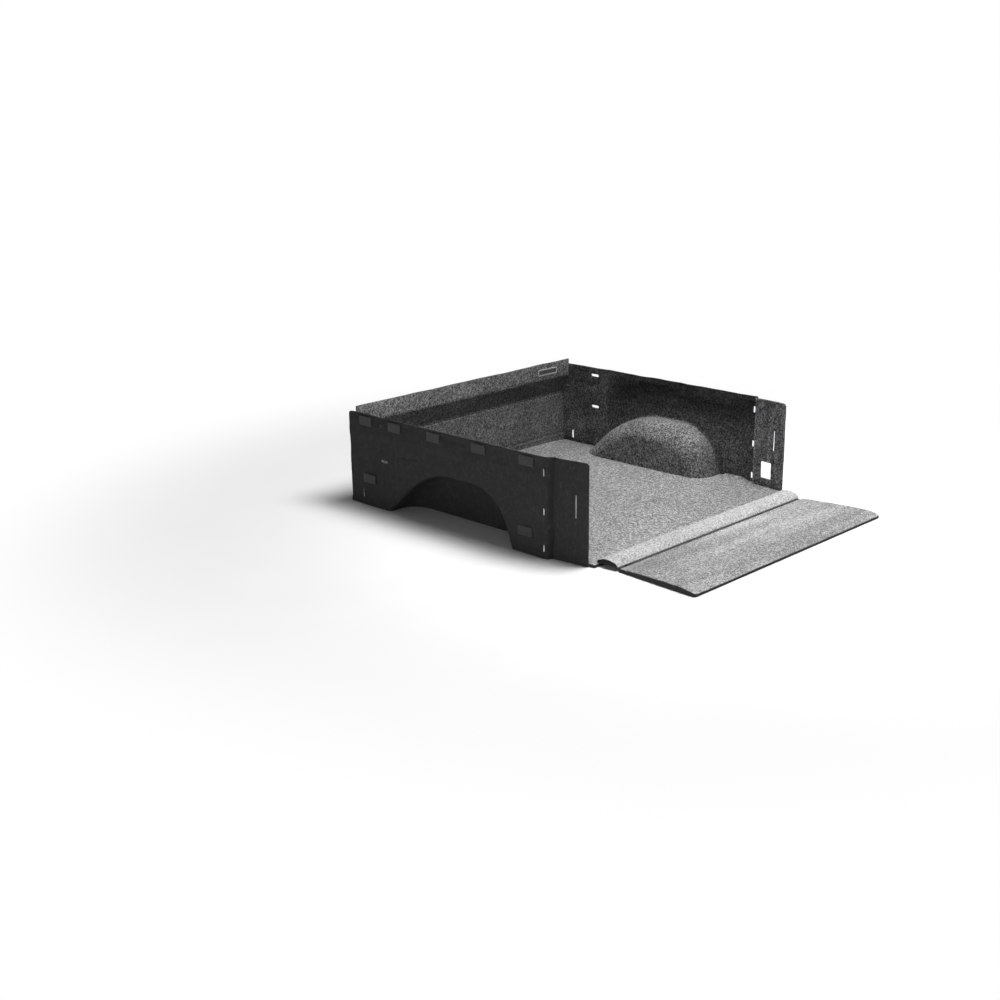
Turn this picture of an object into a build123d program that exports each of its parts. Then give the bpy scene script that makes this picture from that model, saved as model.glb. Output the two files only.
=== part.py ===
"""Carpet-style pickup bed liner for a short (about 5 ft 8 in) bed.

Frame: +X to the passenger side, +Y towards the cab, +Z up.  The origin is the middle of the bed
floor's rear edge, on the bed floor itself, which is the underside of the floor mat.
The tailgate mat is drawn with the tailgate down.  All sizes are in millimetres.
"""

import os
from math import cos, hypot, radians, sin, tan

from build123d import *

os.makedirs("parts", exist_ok=True)

# ------------------------------------------------------------------ shared dimensions
PILE = 4.0  # carpet face on the wall panels
WALL_FOAM = 5.0  # closed-cell foam behind it
PANEL_T = PILE + WALL_FOAM
WALL_LAYERS = [("pile", 0.0, PILE), ("foam", PILE, PANEL_T)]  # name, near and far skin depth

FLOOR_PILE = 6.0  # the floor mat is three quarters of an inch in all
FLOOR_FOAM = 13.0
FLOOR_TOP = FLOOR_PILE + FLOOR_FOAM

# inner faces of a side panel, which steps in to the rear post
WALL_X = 897.0
POST_FRONT_X = 866.0
POST_REAR_X = 842.0
POST_STEP_Y = 258.0
POST_STEP_RUN = 16.0  # length of the step along Y

# hook-and-loop pads
PAD_L = 100.0
PAD_W = 50.0
PAD_T = 2.0
PAD_R = 6.0

# zip between the gap guard and the tailgate mat
ZIP_Y = -131.0
ZIP_HALF = 785.0
TAPE_Z = 13.2
TAPE_T = 1.0


def save(part, name):
    part.label = name
    export_step(part, f"parts/{name}.step")


# ------------------------------------------------------------------ wheel well volume
# side profile in Y and Z, and the inner face
WELL_REAR = 493.0
WELL_REAR_DEG = 71.5
WELL_FRONT = 1454.0
WELL_FRONT_DEG = 43.0
WELL_TOP = 297.0
WELL_REAR_R = 279.0
WELL_FRONT_R = 520.0
WELL_INNER_X = 705.0
WELL_EDGE_R = 110.0
WELL_FOOT_Z = -60.0  # the volume runs on below the bed floor


def well_outline(depth):
    """Corner and tangent points of the side profile, pulled in by depth, rear foot first."""
    rear, front = radians(WELL_REAR_DEG), radians(WELL_FRONT_DEG)
    top = WELL_TOP - depth
    rear_y, rear_z = WELL_REAR + depth * sin(rear), -depth * cos(rear)
    front_y, front_z = WELL_FRONT - depth * sin(front), -depth * cos(front)
    # where the slopes would meet the top, and how far from there the arcs start
    rear_corner = rear_y + (top - rear_z) / tan(rear)
    front_corner = front_y - (top - front_z) / tan(front)
    rear_reach = (WELL_REAR_R - depth) * tan(rear / 2)
    front_reach = (WELL_FRONT_R - depth) * tan(front / 2)
    return [
        (rear_y + (WELL_FOOT_Z - rear_z) / tan(rear), WELL_FOOT_Z),
        (rear_corner - rear_reach * cos(rear), top - rear_reach * sin(rear)),
        (rear_corner + rear_reach, top),
        (front_corner - front_reach, top),
        (front_corner + front_reach * cos(front), top - front_reach * sin(front)),
        (front_y + (front_z - WELL_FOOT_Z) / tan(front), WELL_FOOT_Z),
    ]


def well(depth, outer_x):
    """The volume that the wheel well takes up, its skin pulled in by depth, out to outer_x."""
    rear_foot, rear_low, rear_high, front_high, front_low, front_foot = well_outline(depth)
    rear = radians(WELL_REAR_DEG)
    with BuildPart() as body:
        with BuildSketch(Plane.YZ.offset(WELL_INNER_X + depth)):
            with BuildLine():
                Line(rear_foot, rear_low)
                TangentArc(rear_low, rear_high, tangent=(cos(rear), sin(rear)))
                Line(rear_high, front_high)
                TangentArc(front_high, front_low, tangent=(1, 0))
                Line(front_low, front_foot)
                Line(front_foot, rear_foot)
            make_face()
        extrude(amount=outer_x - WELL_INNER_X - depth)
        # every edge of the inner face but the foot
        rim = body.faces().sort_by(Axis.X)[0].edges()
        fillet([e for e in rim if e.center().Z > WELL_FOOT_Z + 5.0], radius=WELL_EDGE_R - depth)
    return body.part


# ------------------------------------------------------------------ side panels
SIDE_REAR = 28.0
SIDE_FRONT = 1767.0
SIDE_TOP = 529.0
SIDE_CORNER_R = 18.0
STEP_SHIFT = 0.6  # how far the post step moves back in Y per unit of depth
CUT_START = 20.0  # cutters start this far inboard of a face
WALL_CUT = 40.0
POST_CUT = 60.0

# tie-down slots in each side panel: centre Y, centre Z, length, width, degrees from level
TIE_SLOTS = [
    (1487.0, 480.0, 62.0, 17.0, 0.0),
    (1479.0, 279.0, 62.0, 17.0, 0.0),
    (1668.0, 66.0, 56.0, 17.0, 90.0),
    (274.0, 450.0, 40.0, 15.0, 90.0),
    (274.0, 246.0, 40.0, 15.0, 90.0),
    (274.0, 54.0, 40.0, 15.0, 90.0),
]
# passenger side only
OUTLET_AT = (151.0, 114.5)  # Y, Z
OUTLET_W = 77.0
OUTLET_H = 99.0
OUTLET_R = 6.0
LAMP_SLIT_AT = (102.0, 298.0)  # Y, Z
LAMP_SLIT_W = 8.0
LAMP_SLIT_H = 123.0


def wall_line(depth):
    """Plan of the side panel's skin at a depth, cab end first."""
    step_y = POST_STEP_Y - STEP_SHIFT * depth
    return [
        (WALL_X + depth, SIDE_FRONT),
        (WALL_X + depth, step_y),
        (POST_FRONT_X + depth, step_y - POST_STEP_RUN),
        (POST_REAR_X + depth, SIDE_REAR),
    ]


def side_panel(near, far, side):
    """One layer of a side panel between skin depths near and far."""
    skin, hollow = well(near, WALL_X + far), well(far, WALL_X + 60.0)
    with BuildPart() as panel:
        with BuildSketch(Plane.XY):
            with BuildLine():
                Polyline(*wall_line(near), *reversed(wall_line(far)), close=True)
            make_face()
        extrude(amount=SIDE_TOP)
        top_corners = [
            e
            for e in panel.edges().filter_by(Axis.X)
            if e.center().Z > SIDE_TOP - 1
            and (e.center().Y < SIDE_REAR + 1 or e.center().Y > SIDE_FRONT - 1)
        ]
        fillet(top_corners, radius=SIDE_CORNER_R)
        add(skin)
        add(hollow, mode=Mode.SUBTRACT)
        # nothing below the bed floor
        with BuildSketch(Plane.XY.offset(-100.0)):
            with Locations((WALL_X, 900.0)):
                Rectangle(700.0, 2400.0)
        extrude(amount=100.0, mode=Mode.SUBTRACT)
        # slots that the bed's fixed tie-downs come through
        for y, z, length, width, turn in TIE_SLOTS:
            with BuildSketch(Plane.YZ.offset(WALL_X - CUT_START)):
                with Locations((y, z)):
                    SlotOverall(length, width, rotation=turn)
            extrude(amount=WALL_CUT, mode=Mode.SUBTRACT)
        if side == "right":
            with BuildSketch(Plane.YZ.offset(POST_REAR_X - CUT_START)):
                with Locations(OUTLET_AT):
                    RectangleRounded(OUTLET_W, OUTLET_H, OUTLET_R)
            extrude(amount=POST_CUT, mode=Mode.SUBTRACT)
        # upright lamp slit, on both sides
        with BuildSketch(Plane.YZ.offset(POST_REAR_X - CUT_START)):
            with Locations(LAMP_SLIT_AT):
                SlotOverall(LAMP_SLIT_H, LAMP_SLIT_W, rotation=90.0)
        extrude(amount=POST_CUT, mode=Mode.SUBTRACT)
    if side == "right":
        return panel.part
    with BuildPart() as mirrored:
        add(mirror(panel.part, about=Plane.YZ))
    return mirrored.part


for side in ("right", "left"):
    for layer_name, near, far in WALL_LAYERS:
        save(side_panel(near, far, side), f"{side}_side_{layer_name}")


# ------------------------------------------------------------------ floor mat
FLOOR_REAR = -6.0
FLOOR_FRONT = 1740.0
FLOOR_GAP = 4.0  # between the mat and the walls' inner faces, in X
FLOOR_STEP_SHIFT = 2.0  # the mat's post step lies this far ahead of the wall's
FLOOR_WELL_GAP = 2.0


def floor_layer(low, high):
    """One layer of the floor mat, cut out around both wheel wells."""
    step_y = POST_STEP_Y + FLOOR_STEP_SHIFT
    right_edge = [
        (POST_REAR_X - FLOOR_GAP, FLOOR_REAR),
        (POST_FRONT_X - FLOOR_GAP, step_y - POST_STEP_RUN),
        (WALL_X - FLOOR_GAP, step_y),
        (WALL_X - FLOOR_GAP, FLOOR_FRONT),
    ]
    left_edge = [(-x, y) for x, y in right_edge]
    well_room = well(-FLOOR_WELL_GAP, WALL_X + 40.0)
    with BuildPart() as layer:
        with BuildSketch(Plane.XY.offset(low)):
            with BuildLine():
                Polyline(*right_edge, *reversed(left_edge), close=True)
            make_face()
        extrude(amount=high - low)
        add(well_room, mode=Mode.SUBTRACT)
        add(mirror(well_room, about=Plane.YZ), mode=Mode.SUBTRACT)
    return layer.part


save(floor_layer(FLOOR_FOAM, FLOOR_TOP), "floor_pile")
save(floor_layer(0.0, FLOOR_FOAM), "floor_foam")


# ------------------------------------------------------------------ front panel
FRONT_FACE = [(1742.0, 0.0), (1755.0, 347.0), (1705.0, 459.0), (1705.0, 560.0)]  # Y, Z, foot to top
FRONT_HALF = 894.0
FRONT_BEND_R = 26.0
BEND_RISE = 0.21  # how far the bends rise per unit of depth

PATCH_AT = (688.0, 508.0)  # X, Z
PATCH_W = 170.0
PATCH_H = 38.0
PATCH_R = 7.0
PATCH_T = 1.2


def front_line(depth):
    """Side profile of the panel at a depth behind its face, foot to top."""
    rise = BEND_RISE * depth
    return [(y + depth, z + lift) for (y, z), lift in zip(FRONT_FACE, (0.0, rise, rise, 0.0))]


def front_layer(near, far):
    with BuildPart() as layer:
        with BuildSketch(Plane.YZ.offset(-FRONT_HALF)):
            with BuildLine():
                Polyline(*front_line(near), *reversed(front_line(far)), close=True)
            make_face()
        extrude(amount=2 * FRONT_HALF)
        bends = [e for e in layer.edges().filter_by(Axis.X) if 340.0 < e.center().Z < 475.0]
        fillet(bends, radius=FRONT_BEND_R)
    return layer.part


def front_patch():
    """Thin patch on the rear-facing side of the panel's top band."""
    band_y = FRONT_FACE[2][0]
    with BuildPart() as patch:
        with BuildSketch(Plane.XZ.offset(-band_y)):
            with Locations(PATCH_AT):
                RectangleRounded(PATCH_W, PATCH_H, PATCH_R)
        extrude(amount=PATCH_T)
    return patch.part


for layer_name, near, far in WALL_LAYERS:
    save(front_layer(near, far), f"front_{layer_name}")
save(front_patch(), "front_patch")


# ------------------------------------------------------------------ wall pads
# centre Y, centre Z
SIDE_PADS = [
    (390, 490), (730, 490), (1070, 490), (1380, 490), (1620, 490),
    (400, 120), (1600, 160),
]
FRONT_PADS_X = [-660.0, -220.0, 220.0, 660.0]
FOOT_PAD_PLACE = 0.28  # share of the way from the foot to the lower bend
PAD_LAYERS = [("loop", 0.0), ("hook", PAD_T)]  # name, distance behind the foam


def side_pads(start, sign):
    """Pads behind one side panel; sign is 1 for the passenger side and -1 for the other."""
    with BuildPart() as pads:
        with BuildSketch(Plane.YZ.offset(sign * (WALL_X + PANEL_T + start))):
            with Locations(*SIDE_PADS):
                RectangleRounded(PAD_L, PAD_W, PAD_R)
        extrude(amount=sign * PAD_T)
    return pads.part


def front_pads(start):
    """Four pads behind the top band and four behind the foot of the front panel."""
    (foot_y, foot_z), (bend_y, bend_z), (band_y, band_low), (_, band_high) = front_line(PANEL_T)
    run, rise = bend_y - foot_y, bend_z - foot_z
    slope = hypot(run, rise)
    out = Vector(0, rise / slope, -run / slope)
    foot_centre = Vector(0, foot_y + run * FOOT_PAD_PLACE, foot_z + rise * FOOT_PAD_PLACE)
    foot = Plane(origin=foot_centre + out * start, x_dir=(-1, 0, 0), z_dir=out)
    band = Plane(
        origin=(0, band_y + start, (band_low + band_high) / 2),
        x_dir=(-1, 0, 0),
        z_dir=(0, 1, 0),
    )
    with BuildPart() as pads:
        for plane in (band, foot):
            with BuildSketch(plane):
                with Locations(*[(x, 0) for x in FRONT_PADS_X]):
                    RectangleRounded(PAD_L, PAD_W, PAD_R)
            extrude(amount=PAD_T)
    return pads.part


for kind, start in PAD_LAYERS:
    save(side_pads(start, 1.0), f"right_{kind}_pads")
    save(side_pads(start, -1.0), f"left_{kind}_pads")
    save(front_pads(start), f"front_{kind}_pads")


# ------------------------------------------------------------------ gap guard
GUARD_HALF = 800.0
GUARD_REAR = -120.0
GUARD_FRONT = 15.0
GUARD_BASE_Z = 19.4
GUARD_BASE_T = 1.6
GUARD_COVER = 3.0
GUARD_CORE_GAP = 0.05  # between the cover and the core
ARCH_SETBACK = 2.0  # from the base strip's rear edge to the arch
ARCH_FRONT_PULL = 1.35  # how far the front end moves in per unit of inset

# crest of the arch: Y, Z, then the shift forward and down per unit of inset
GUARD_CREST = [
    (-114.0, 26.0, 0.85, 0.55),
    (-105.5, 33.0, 0.85, 0.55),
    (-94.0, 39.5, 0.85, 0.55),
    (-80.0, 44.7, 0.42, 0.85),
    (-64.0, 47.8, 0.42, 0.85),
    (-48.0, 49.0, 0.0, 0.9),
    (-32.0, 47.8, 0.0, 0.9),
    (-16.0, 43.2, -0.42, 0.85),
    (0.0, 34.5, -0.42, 0.85),
]


def guard_arch(inset):
    """Points over the guard's arched section, pulled in by inset, on its base strip."""
    base = GUARD_BASE_Z + GUARD_BASE_T
    crest = [(y + ahead * inset, z - down * inset) for y, z, ahead, down in GUARD_CREST]
    return [
        (GUARD_REAR + ARCH_SETBACK + inset, base),
        *crest,
        (GUARD_FRONT - ARCH_FRONT_PULL * inset, base),
    ]


def guard_solid(inset, hollow=None):
    """Bar with the arched section, hollowed out from the inset hollow inwards if given."""
    with BuildPart() as bar:
        for depth, mode in ((inset, Mode.ADD), (hollow, Mode.SUBTRACT)):
            if depth is None:
                continue
            arch = guard_arch(depth)
            with BuildSketch(Plane.YZ.offset(-GUARD_HALF)):
                with BuildLine():
                    Spline(*arch)
                    Line(arch[-1], arch[0])
                make_face()
            extrude(amount=2 * GUARD_HALF, mode=mode)
    return bar.part


def guard_base():
    with BuildPart() as base:
        with BuildSketch(Plane.XY.offset(GUARD_BASE_Z)):
            with Locations((0, (GUARD_REAR + GUARD_FRONT) / 2)):
                Rectangle(2 * GUARD_HALF, GUARD_FRONT - GUARD_REAR)
        extrude(amount=GUARD_BASE_T)
    return base.part


save(guard_solid(0.0, GUARD_COVER), "guard_cover")
save(guard_solid(GUARD_COVER + GUARD_CORE_GAP), "guard_core")
save(guard_base(), "guard_base")


# ------------------------------------------------------------------ tailgate mat
MAT_HALF = 800.0  # at the front
MAT_HALF_REAR = 829.0
MAT_FOAM_FRONT = -126.0
MAT_PILE_FRONT = -138.0
MAT_REAR = -613.0
MAT_PILE = 5.0
MAT_RABBET_Z = 9.0
MAT_CORNER_R = 14.0
# top of the pile, front to rear: Y, Z
MAT_TOP = [
    (MAT_PILE_FRONT, FLOOR_TOP),
    (-190.0, 22.0),
    (-280.0, 26.0),
    (-380.0, 29.0),
    (-480.0, 30.5),
    (-530.0, 29.0),
    (-575.0, 24.0),
    (MAT_REAR, 15.0),
]
# plan, wider at the rear than at the front: X, Y
MAT_PLAN = [
    (-MAT_HALF, -120.0),
    (MAT_HALF, -120.0),
    (MAT_HALF, MAT_PILE_FRONT),
    (MAT_HALF_REAR, MAT_REAR - 0.5),
    (-MAT_HALF_REAR, MAT_REAR - 0.5),
    (-MAT_HALF, MAT_PILE_FRONT),
]
MAT_PADS = [(x, y) for y in (-240.0, -500.0) for x in (-600.0, -200.0, 200.0, 600.0)]
POCKET_GAP = 0.5  # around each pad

# room for the zip tape
TAPE_GAP = 0.2  # above and below the tape
TAPE_END_GAP = 2.0
TAPE_SLOT_Y = MAT_PILE_FRONT - 7.0
TAPE_SLOT_W = 24.0


def mat_top(drop):
    return [(y, z - drop) for y, z in MAT_TOP]


def mat_layer(is_foam):
    """The tailgate mat's pile, or the foam under it."""
    upper = mat_top(MAT_PILE if is_foam else 0.0)
    lower = mat_top(MAT_PILE)
    with BuildPart() as layer:
        with BuildSketch(Plane.YZ.offset(-MAT_HALF_REAR - 1)):
            with BuildLine():
                Spline(*upper)
                if is_foam:
                    Polyline(
                        upper[-1],
                        (MAT_REAR, 0.0),
                        (MAT_FOAM_FRONT, 0.0),
                        (MAT_FOAM_FRONT, MAT_RABBET_Z),
                        (MAT_PILE_FRONT, MAT_RABBET_Z),
                        upper[0],
                    )
                else:
                    Line(upper[-1], lower[-1])
                    Spline(*lower)
                    Line(lower[0], upper[0])
            make_face()
        extrude(amount=2 * MAT_HALF_REAR + 2)
        with BuildSketch(Plane.XY.offset(-1)):
            Polygon(*MAT_PLAN, align=None)
        extrude(amount=60, mode=Mode.INTERSECT)
        uprights = layer.edges().filter_by(Axis.Z)
        fillet([e for e in uprights if e.center().Y < MAT_REAR + 1], radius=MAT_CORNER_R)
        # room near the mat's front edge for the zip tape
        with BuildSketch(Plane.XY.offset(TAPE_Z - TAPE_GAP)):
            with Locations((0, TAPE_SLOT_Y)):
                Rectangle(2 * (ZIP_HALF + TAPE_END_GAP), TAPE_SLOT_W)
        extrude(amount=TAPE_T + 2 * TAPE_GAP, mode=Mode.SUBTRACT)
        if is_foam:
            # pockets for the pads, so that the mat lies flat
            with BuildSketch(Plane.XY):
                with Locations(*MAT_PADS):
                    RectangleRounded(
                        PAD_L + 2 * POCKET_GAP, PAD_W + 2 * POCKET_GAP, PAD_R + POCKET_GAP
                    )
            extrude(amount=2 * PAD_T, mode=Mode.SUBTRACT)
    return layer.part


def mat_pads(low):
    with BuildPart() as pads:
        with BuildSketch(Plane.XY.offset(low)):
            with Locations(*MAT_PADS):
                RectangleRounded(PAD_L, PAD_W, PAD_R)
        extrude(amount=PAD_T)
    return pads.part


save(mat_layer(is_foam=False), "tailgate_pile")
save(mat_layer(is_foam=True), "tailgate_foam")
save(mat_pads(0.0), "tailgate_hook_pads")
save(mat_pads(PAD_T), "tailgate_loop_pads")


# ------------------------------------------------------------------ zip tapes, chains and stops
CHAIN_W = 3.6
CHAIN_H = 3.2
CHAIN_R = 1.2
CHAIN_NEAR = 1.4 / 2  # half the gap between the chains
CHAIN_FAR = CHAIN_NEAR + CHAIN_W
CHAIN_Z = TAPE_Z + TAPE_T
CHAIN_HALF = ZIP_HALF - 8
STOP_X = ZIP_HALF - 4.5
STOP_L = 6.0
STOP_W = 9.0
STOP_H = 3.4
STOP_R = 1.2
STOP_EDGE_R = 0.8


def strip(y_low, y_high, z_low, height, half, rounding=0.0):
    """Bar along X; y_low and y_high are measured from the zip's centre line."""
    with BuildPart() as bar:
        with BuildSketch(Plane.YZ.offset(-half)):
            with Locations((ZIP_Y + (y_low + y_high) / 2, z_low + height / 2)):
                if rounding:
                    RectangleRounded(y_high - y_low, height, rounding)
                else:
                    Rectangle(y_high - y_low, height)
        extrude(amount=2 * half)
    return bar.part


def zip_stops():
    with BuildPart() as stops:
        with BuildSketch(Plane.XY.offset(CHAIN_Z)):
            with Locations((STOP_X, ZIP_Y), (-STOP_X, ZIP_Y)):
                RectangleRounded(STOP_L, STOP_W, STOP_R)
        extrude(amount=STOP_H)
        fillet(stops.faces().sort_by(Axis.Z)[-2:].edges(), radius=STOP_EDGE_R)
    return stops.part


save(strip(1.0, 4.5, TAPE_Z, TAPE_T, ZIP_HALF), "zip_tape_guard")
save(strip(-17.0, -1.0, TAPE_Z, TAPE_T, ZIP_HALF), "zip_tape_mat")
save(strip(CHAIN_NEAR, CHAIN_FAR, CHAIN_Z, CHAIN_H, CHAIN_HALF, CHAIN_R), "zip_chain_guard")
save(strip(-CHAIN_FAR, -CHAIN_NEAR, CHAIN_Z, CHAIN_H, CHAIN_HALF, CHAIN_R), "zip_chain_mat")
save(zip_stops(), "zip_stops")


# ------------------------------------------------------------------ zip slider and pull
SLIDER_X = -745.0
SLIDER_L = 18.0
SLIDER_R = 3.0
UPPER_Z = CHAIN_Z + CHAIN_H + 0.5
UPPER_W = 11.2
UPPER_T = 1.7
UPPER_EDGE_R = 0.7
LOWER_W = 9.8
LOWER_T = 1.8
LOWER_TOP = TAPE_Z - 0.8
FLANGE_Z = CHAIN_Z + 0.8
FLANGE_Y = 5.1  # from the zip's centre line
FLANGE_L = 12.0
FLANGE_T = 0.9
WEB_X = SLIDER_X + 5.0
WEB_L = 5.0
WEB_T = 0.8
POST_Y = 4.1  # from the zip's centre line
POST_L = 2.6
POST_T = 1.0
POST_TOP_GAP = 1.0  # from the bail's centre to the top of its posts
BAIL_Z = 22.3
BAIL_R = 0.9
BAIL_L = 8.0

EYE_R = 1.2
EYE_OUTER_R = 2.3
EYE_W = 6.0
PULL_T = 1.6
LINK_L = 12.0
TAB_X = SLIDER_X + 21.0
TAB_L = 24.0
TAB_W = 9.0
TAB_R = 3.0
TAB_SLOT_X = SLIDER_X + 24.0
TAB_SLOT_L = 12.0
TAB_SLOT_W = 4.0
TAB_CUT = 4.0


def zip_slider():
    with BuildPart() as slider:
        # upper plate
        with BuildSketch(Plane.XY.offset(UPPER_Z)):
            with Locations((SLIDER_X, ZIP_Y)):
                RectangleRounded(SLIDER_L, UPPER_W, SLIDER_R)
        extrude(amount=UPPER_T)
        fillet(slider.faces().sort_by(Axis.Z)[-1].edges(), radius=UPPER_EDGE_R)
        # its side flanges
        with BuildSketch(Plane.XY.offset(FLANGE_Z)):
            with Locations((SLIDER_X, ZIP_Y + FLANGE_Y), (SLIDER_X, ZIP_Y - FLANGE_Y)):
                Rectangle(FLANGE_L, FLANGE_T)
        extrude(amount=UPPER_Z - FLANGE_Z)
        # lower plate
        with BuildSketch(Plane.XY.offset(LOWER_TOP - LOWER_T)):
            with Locations((SLIDER_X, ZIP_Y)):
                RectangleRounded(SLIDER_L, LOWER_W, SLIDER_R)
        extrude(amount=LOWER_T)
        # web between the plates, in the gap between the chains
        with BuildSketch(Plane.XY.offset(LOWER_TOP)):
            with Locations((WEB_X, ZIP_Y)):
                Rectangle(WEB_L, WEB_T)
        extrude(amount=UPPER_Z - LOWER_TOP)
        # posts and bail that carry the pull
        with BuildSketch(Plane.XY.offset(UPPER_Z + UPPER_T)):
            with Locations((SLIDER_X, ZIP_Y + POST_Y), (SLIDER_X, ZIP_Y - POST_Y)):
                Rectangle(POST_L, POST_T)
        extrude(amount=BAIL_Z + POST_TOP_GAP - UPPER_Z - UPPER_T)
        with BuildSketch(Plane.XZ.offset(-ZIP_Y - BAIL_L / 2)):
            with Locations((SLIDER_X, BAIL_Z)):
                Circle(BAIL_R)
        extrude(amount=BAIL_L)
    return slider.part


def zip_pull():
    with BuildPart() as pull:
        # eye around the bail, and the link to the tab
        with BuildSketch(Plane.XZ.offset(-ZIP_Y - EYE_W / 2)):
            with Locations((SLIDER_X, BAIL_Z)):
                Circle(EYE_OUTER_R)
            with Locations((SLIDER_X + LINK_L / 2, BAIL_Z)):
                Rectangle(LINK_L, PULL_T)
        extrude(amount=EYE_W)
        # slotted tab
        with BuildSketch(Plane.XY.offset(BAIL_Z - PULL_T / 2)):
            with Locations((TAB_X, ZIP_Y)):
                RectangleRounded(TAB_L, TAB_W, TAB_R)
        extrude(amount=PULL_T)
        with BuildSketch(Plane.XY.offset(BAIL_Z - TAB_CUT / 2)):
            with Locations((TAB_SLOT_X, ZIP_Y)):
                SlotOverall(TAB_SLOT_L, TAB_SLOT_W)
        extrude(amount=TAB_CUT, mode=Mode.SUBTRACT)
        # bore of the eye
        with BuildSketch(Plane.XZ.offset(-ZIP_Y - BAIL_L / 2)):
            with Locations((SLIDER_X, BAIL_Z)):
                Circle(EYE_R)
        extrude(amount=BAIL_L, mode=Mode.SUBTRACT)
    return pull.part


save(zip_slider(), "zip_slider")
save(zip_pull(), "zip_pull")
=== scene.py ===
import math

import bmesh
import bpy
import numpy as np
from mathutils import Matrix, Vector
from mathutils.geometry import delaunay_2d_cdt


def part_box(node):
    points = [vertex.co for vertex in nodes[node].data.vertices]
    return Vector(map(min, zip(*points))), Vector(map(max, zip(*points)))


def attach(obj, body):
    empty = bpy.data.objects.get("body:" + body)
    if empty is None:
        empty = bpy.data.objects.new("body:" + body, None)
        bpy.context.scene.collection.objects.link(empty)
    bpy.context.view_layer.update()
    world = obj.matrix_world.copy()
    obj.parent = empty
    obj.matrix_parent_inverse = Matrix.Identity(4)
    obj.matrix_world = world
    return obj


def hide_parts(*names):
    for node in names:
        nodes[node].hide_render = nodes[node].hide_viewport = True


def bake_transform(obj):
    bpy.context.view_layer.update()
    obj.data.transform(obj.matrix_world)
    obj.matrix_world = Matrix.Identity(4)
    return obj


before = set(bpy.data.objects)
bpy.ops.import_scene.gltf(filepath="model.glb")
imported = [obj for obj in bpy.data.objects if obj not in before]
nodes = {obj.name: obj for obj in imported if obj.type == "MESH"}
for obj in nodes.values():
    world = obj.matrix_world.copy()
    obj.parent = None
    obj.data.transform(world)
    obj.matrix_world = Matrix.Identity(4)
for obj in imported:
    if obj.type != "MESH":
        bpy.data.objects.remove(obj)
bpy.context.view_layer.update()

MM = 0.001
scene = bpy.context.scene


def cad_box(node):
    lo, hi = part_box(node)
    return np.array(lo) / MM, np.array(hi) / MM


# ====================================================================== numbers shared with the CAD
PILE, WALL_FOAM = 4.0, 5.0
side_lo, side_hi = cad_box("right_side_pile")
WALL_X = side_hi[0] - PILE
WELL_X = side_lo[0]
SIDE_REAR, SIDE_FRONT = side_lo[1], side_hi[1]
SIDE_TOP = side_hi[2]
floor_lo, floor_hi = cad_box("floor_pile")
FLOOR_TOP, FLOOR_SPLIT = floor_hi[2], floor_lo[2]
front_lo, front_hi = cad_box("front_pile")
FRONT_HALF, FRONT_TOP, BAND_Y = front_hi[0], front_hi[2], front_lo[1]
guard_lo, guard_hi = cad_box("guard_cover")
base_lo, base_hi = cad_box("guard_base")
GUARD_HALF, GUARD_REAR, GUARD_FRONT = guard_hi[0], base_lo[1], base_hi[1]
mat_lo, mat_hi = cad_box("tailgate_pile")
MAT_HALF, MAT_HALF_REAR, MAT_FRONT, MAT_REAR = 800.0, mat_hi[0], mat_hi[1], mat_lo[1]
MAT_FOAM_FRONT = cad_box("tailgate_foam")[1][1]
slider_lo, slider_hi = cad_box("zip_slider")
SLIDER_X = (slider_lo[0] + slider_hi[0]) / 2
ZIP_Y = (slider_lo[1] + slider_hi[1]) / 2
chain_lo, chain_hi = cad_box("zip_chain_mat")
guard_chain_lo, guard_chain_hi = cad_box("zip_chain_guard")
tape_lo, tape_hi = cad_box("zip_tape_mat")

POST_STEP_Y, POST_FRONT_X, POST_REAR_X = 258.0, 866.0, 842.0
WELL_REAR, WELL_REAR_DEG, WELL_FRONT, WELL_FRONT_DEG = 493.0, 71.5, 1454.0, 43.0
WELL_TOP, WELL_REAR_R, WELL_FRONT_R, WELL_EDGE_R = 297.0, 279.0, 520.0, 110.0
TIE_SLOTS = [
    (1487.0, 480.0, 62.0, 17.0, 0.0),
    (1479.0, 279.0, 62.0, 17.0, 0.0),
    (1668.0, 66.0, 56.0, 17.0, 90.0),
    (274.0, 450.0, 40.0, 15.0, 90.0),
    (274.0, 246.0, 40.0, 15.0, 90.0),
    (274.0, 54.0, 40.0, 15.0, 90.0),
]
OUTLET = (151.0, 114.5, 77.0, 99.0)
LAMP_SLIT = (102.0, 298.0, 8.0, 123.0)
GUARD_CREST = [
    (-114.0, 26.0),
    (-105.5, 33.0),
    (-94.0, 39.5),
    (-80.0, 44.7),
    (-64.0, 47.8),
    (-48.0, 49.0),
    (-32.0, 47.8),
    (-16.0, 43.2),
    (0.0, 34.5),
]
MAT_TOP = [
    (-190.0, 22.0),
    (-280.0, 26.0),
    (-380.0, 29.0),
    (-480.0, 30.5),
    (-530.0, 29.0),
    (-575.0, 24.0),
]
PAD_L, PAD_W, PAD_T = 100.0, 50.0, 2.0


# ====================================================================== small maths
def ramp(a, b, x):
    t = np.clip((np.asarray(x, float) - a) / (b - a), 0.0, 1.0)
    return t * t * (3 - 2 * t)


def bump1(x, centre, width):
    return np.exp(-(((np.asarray(x, float) - centre) / width) ** 2))


def waves(x, y, length, seed, n=18):
    """Smooth seeded relief, mostly between -1 and 1, with features about `length` across."""
    rng = np.random.default_rng(seed)
    x, y = np.asarray(x, float), np.asarray(y, float)
    total = np.zeros(np.broadcast(x, y).shape)
    for _ in range(n):
        a, size, ph = rng.uniform(0, 2 * np.pi), length * rng.uniform(0.65, 1.8), rng.uniform(0, 2 * np.pi)
        total = total + np.sin(2 * np.pi * (x * np.cos(a) + y * np.sin(a)) / size + ph)
    return total / math.sqrt(n / 2.0) / 1.6


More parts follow.
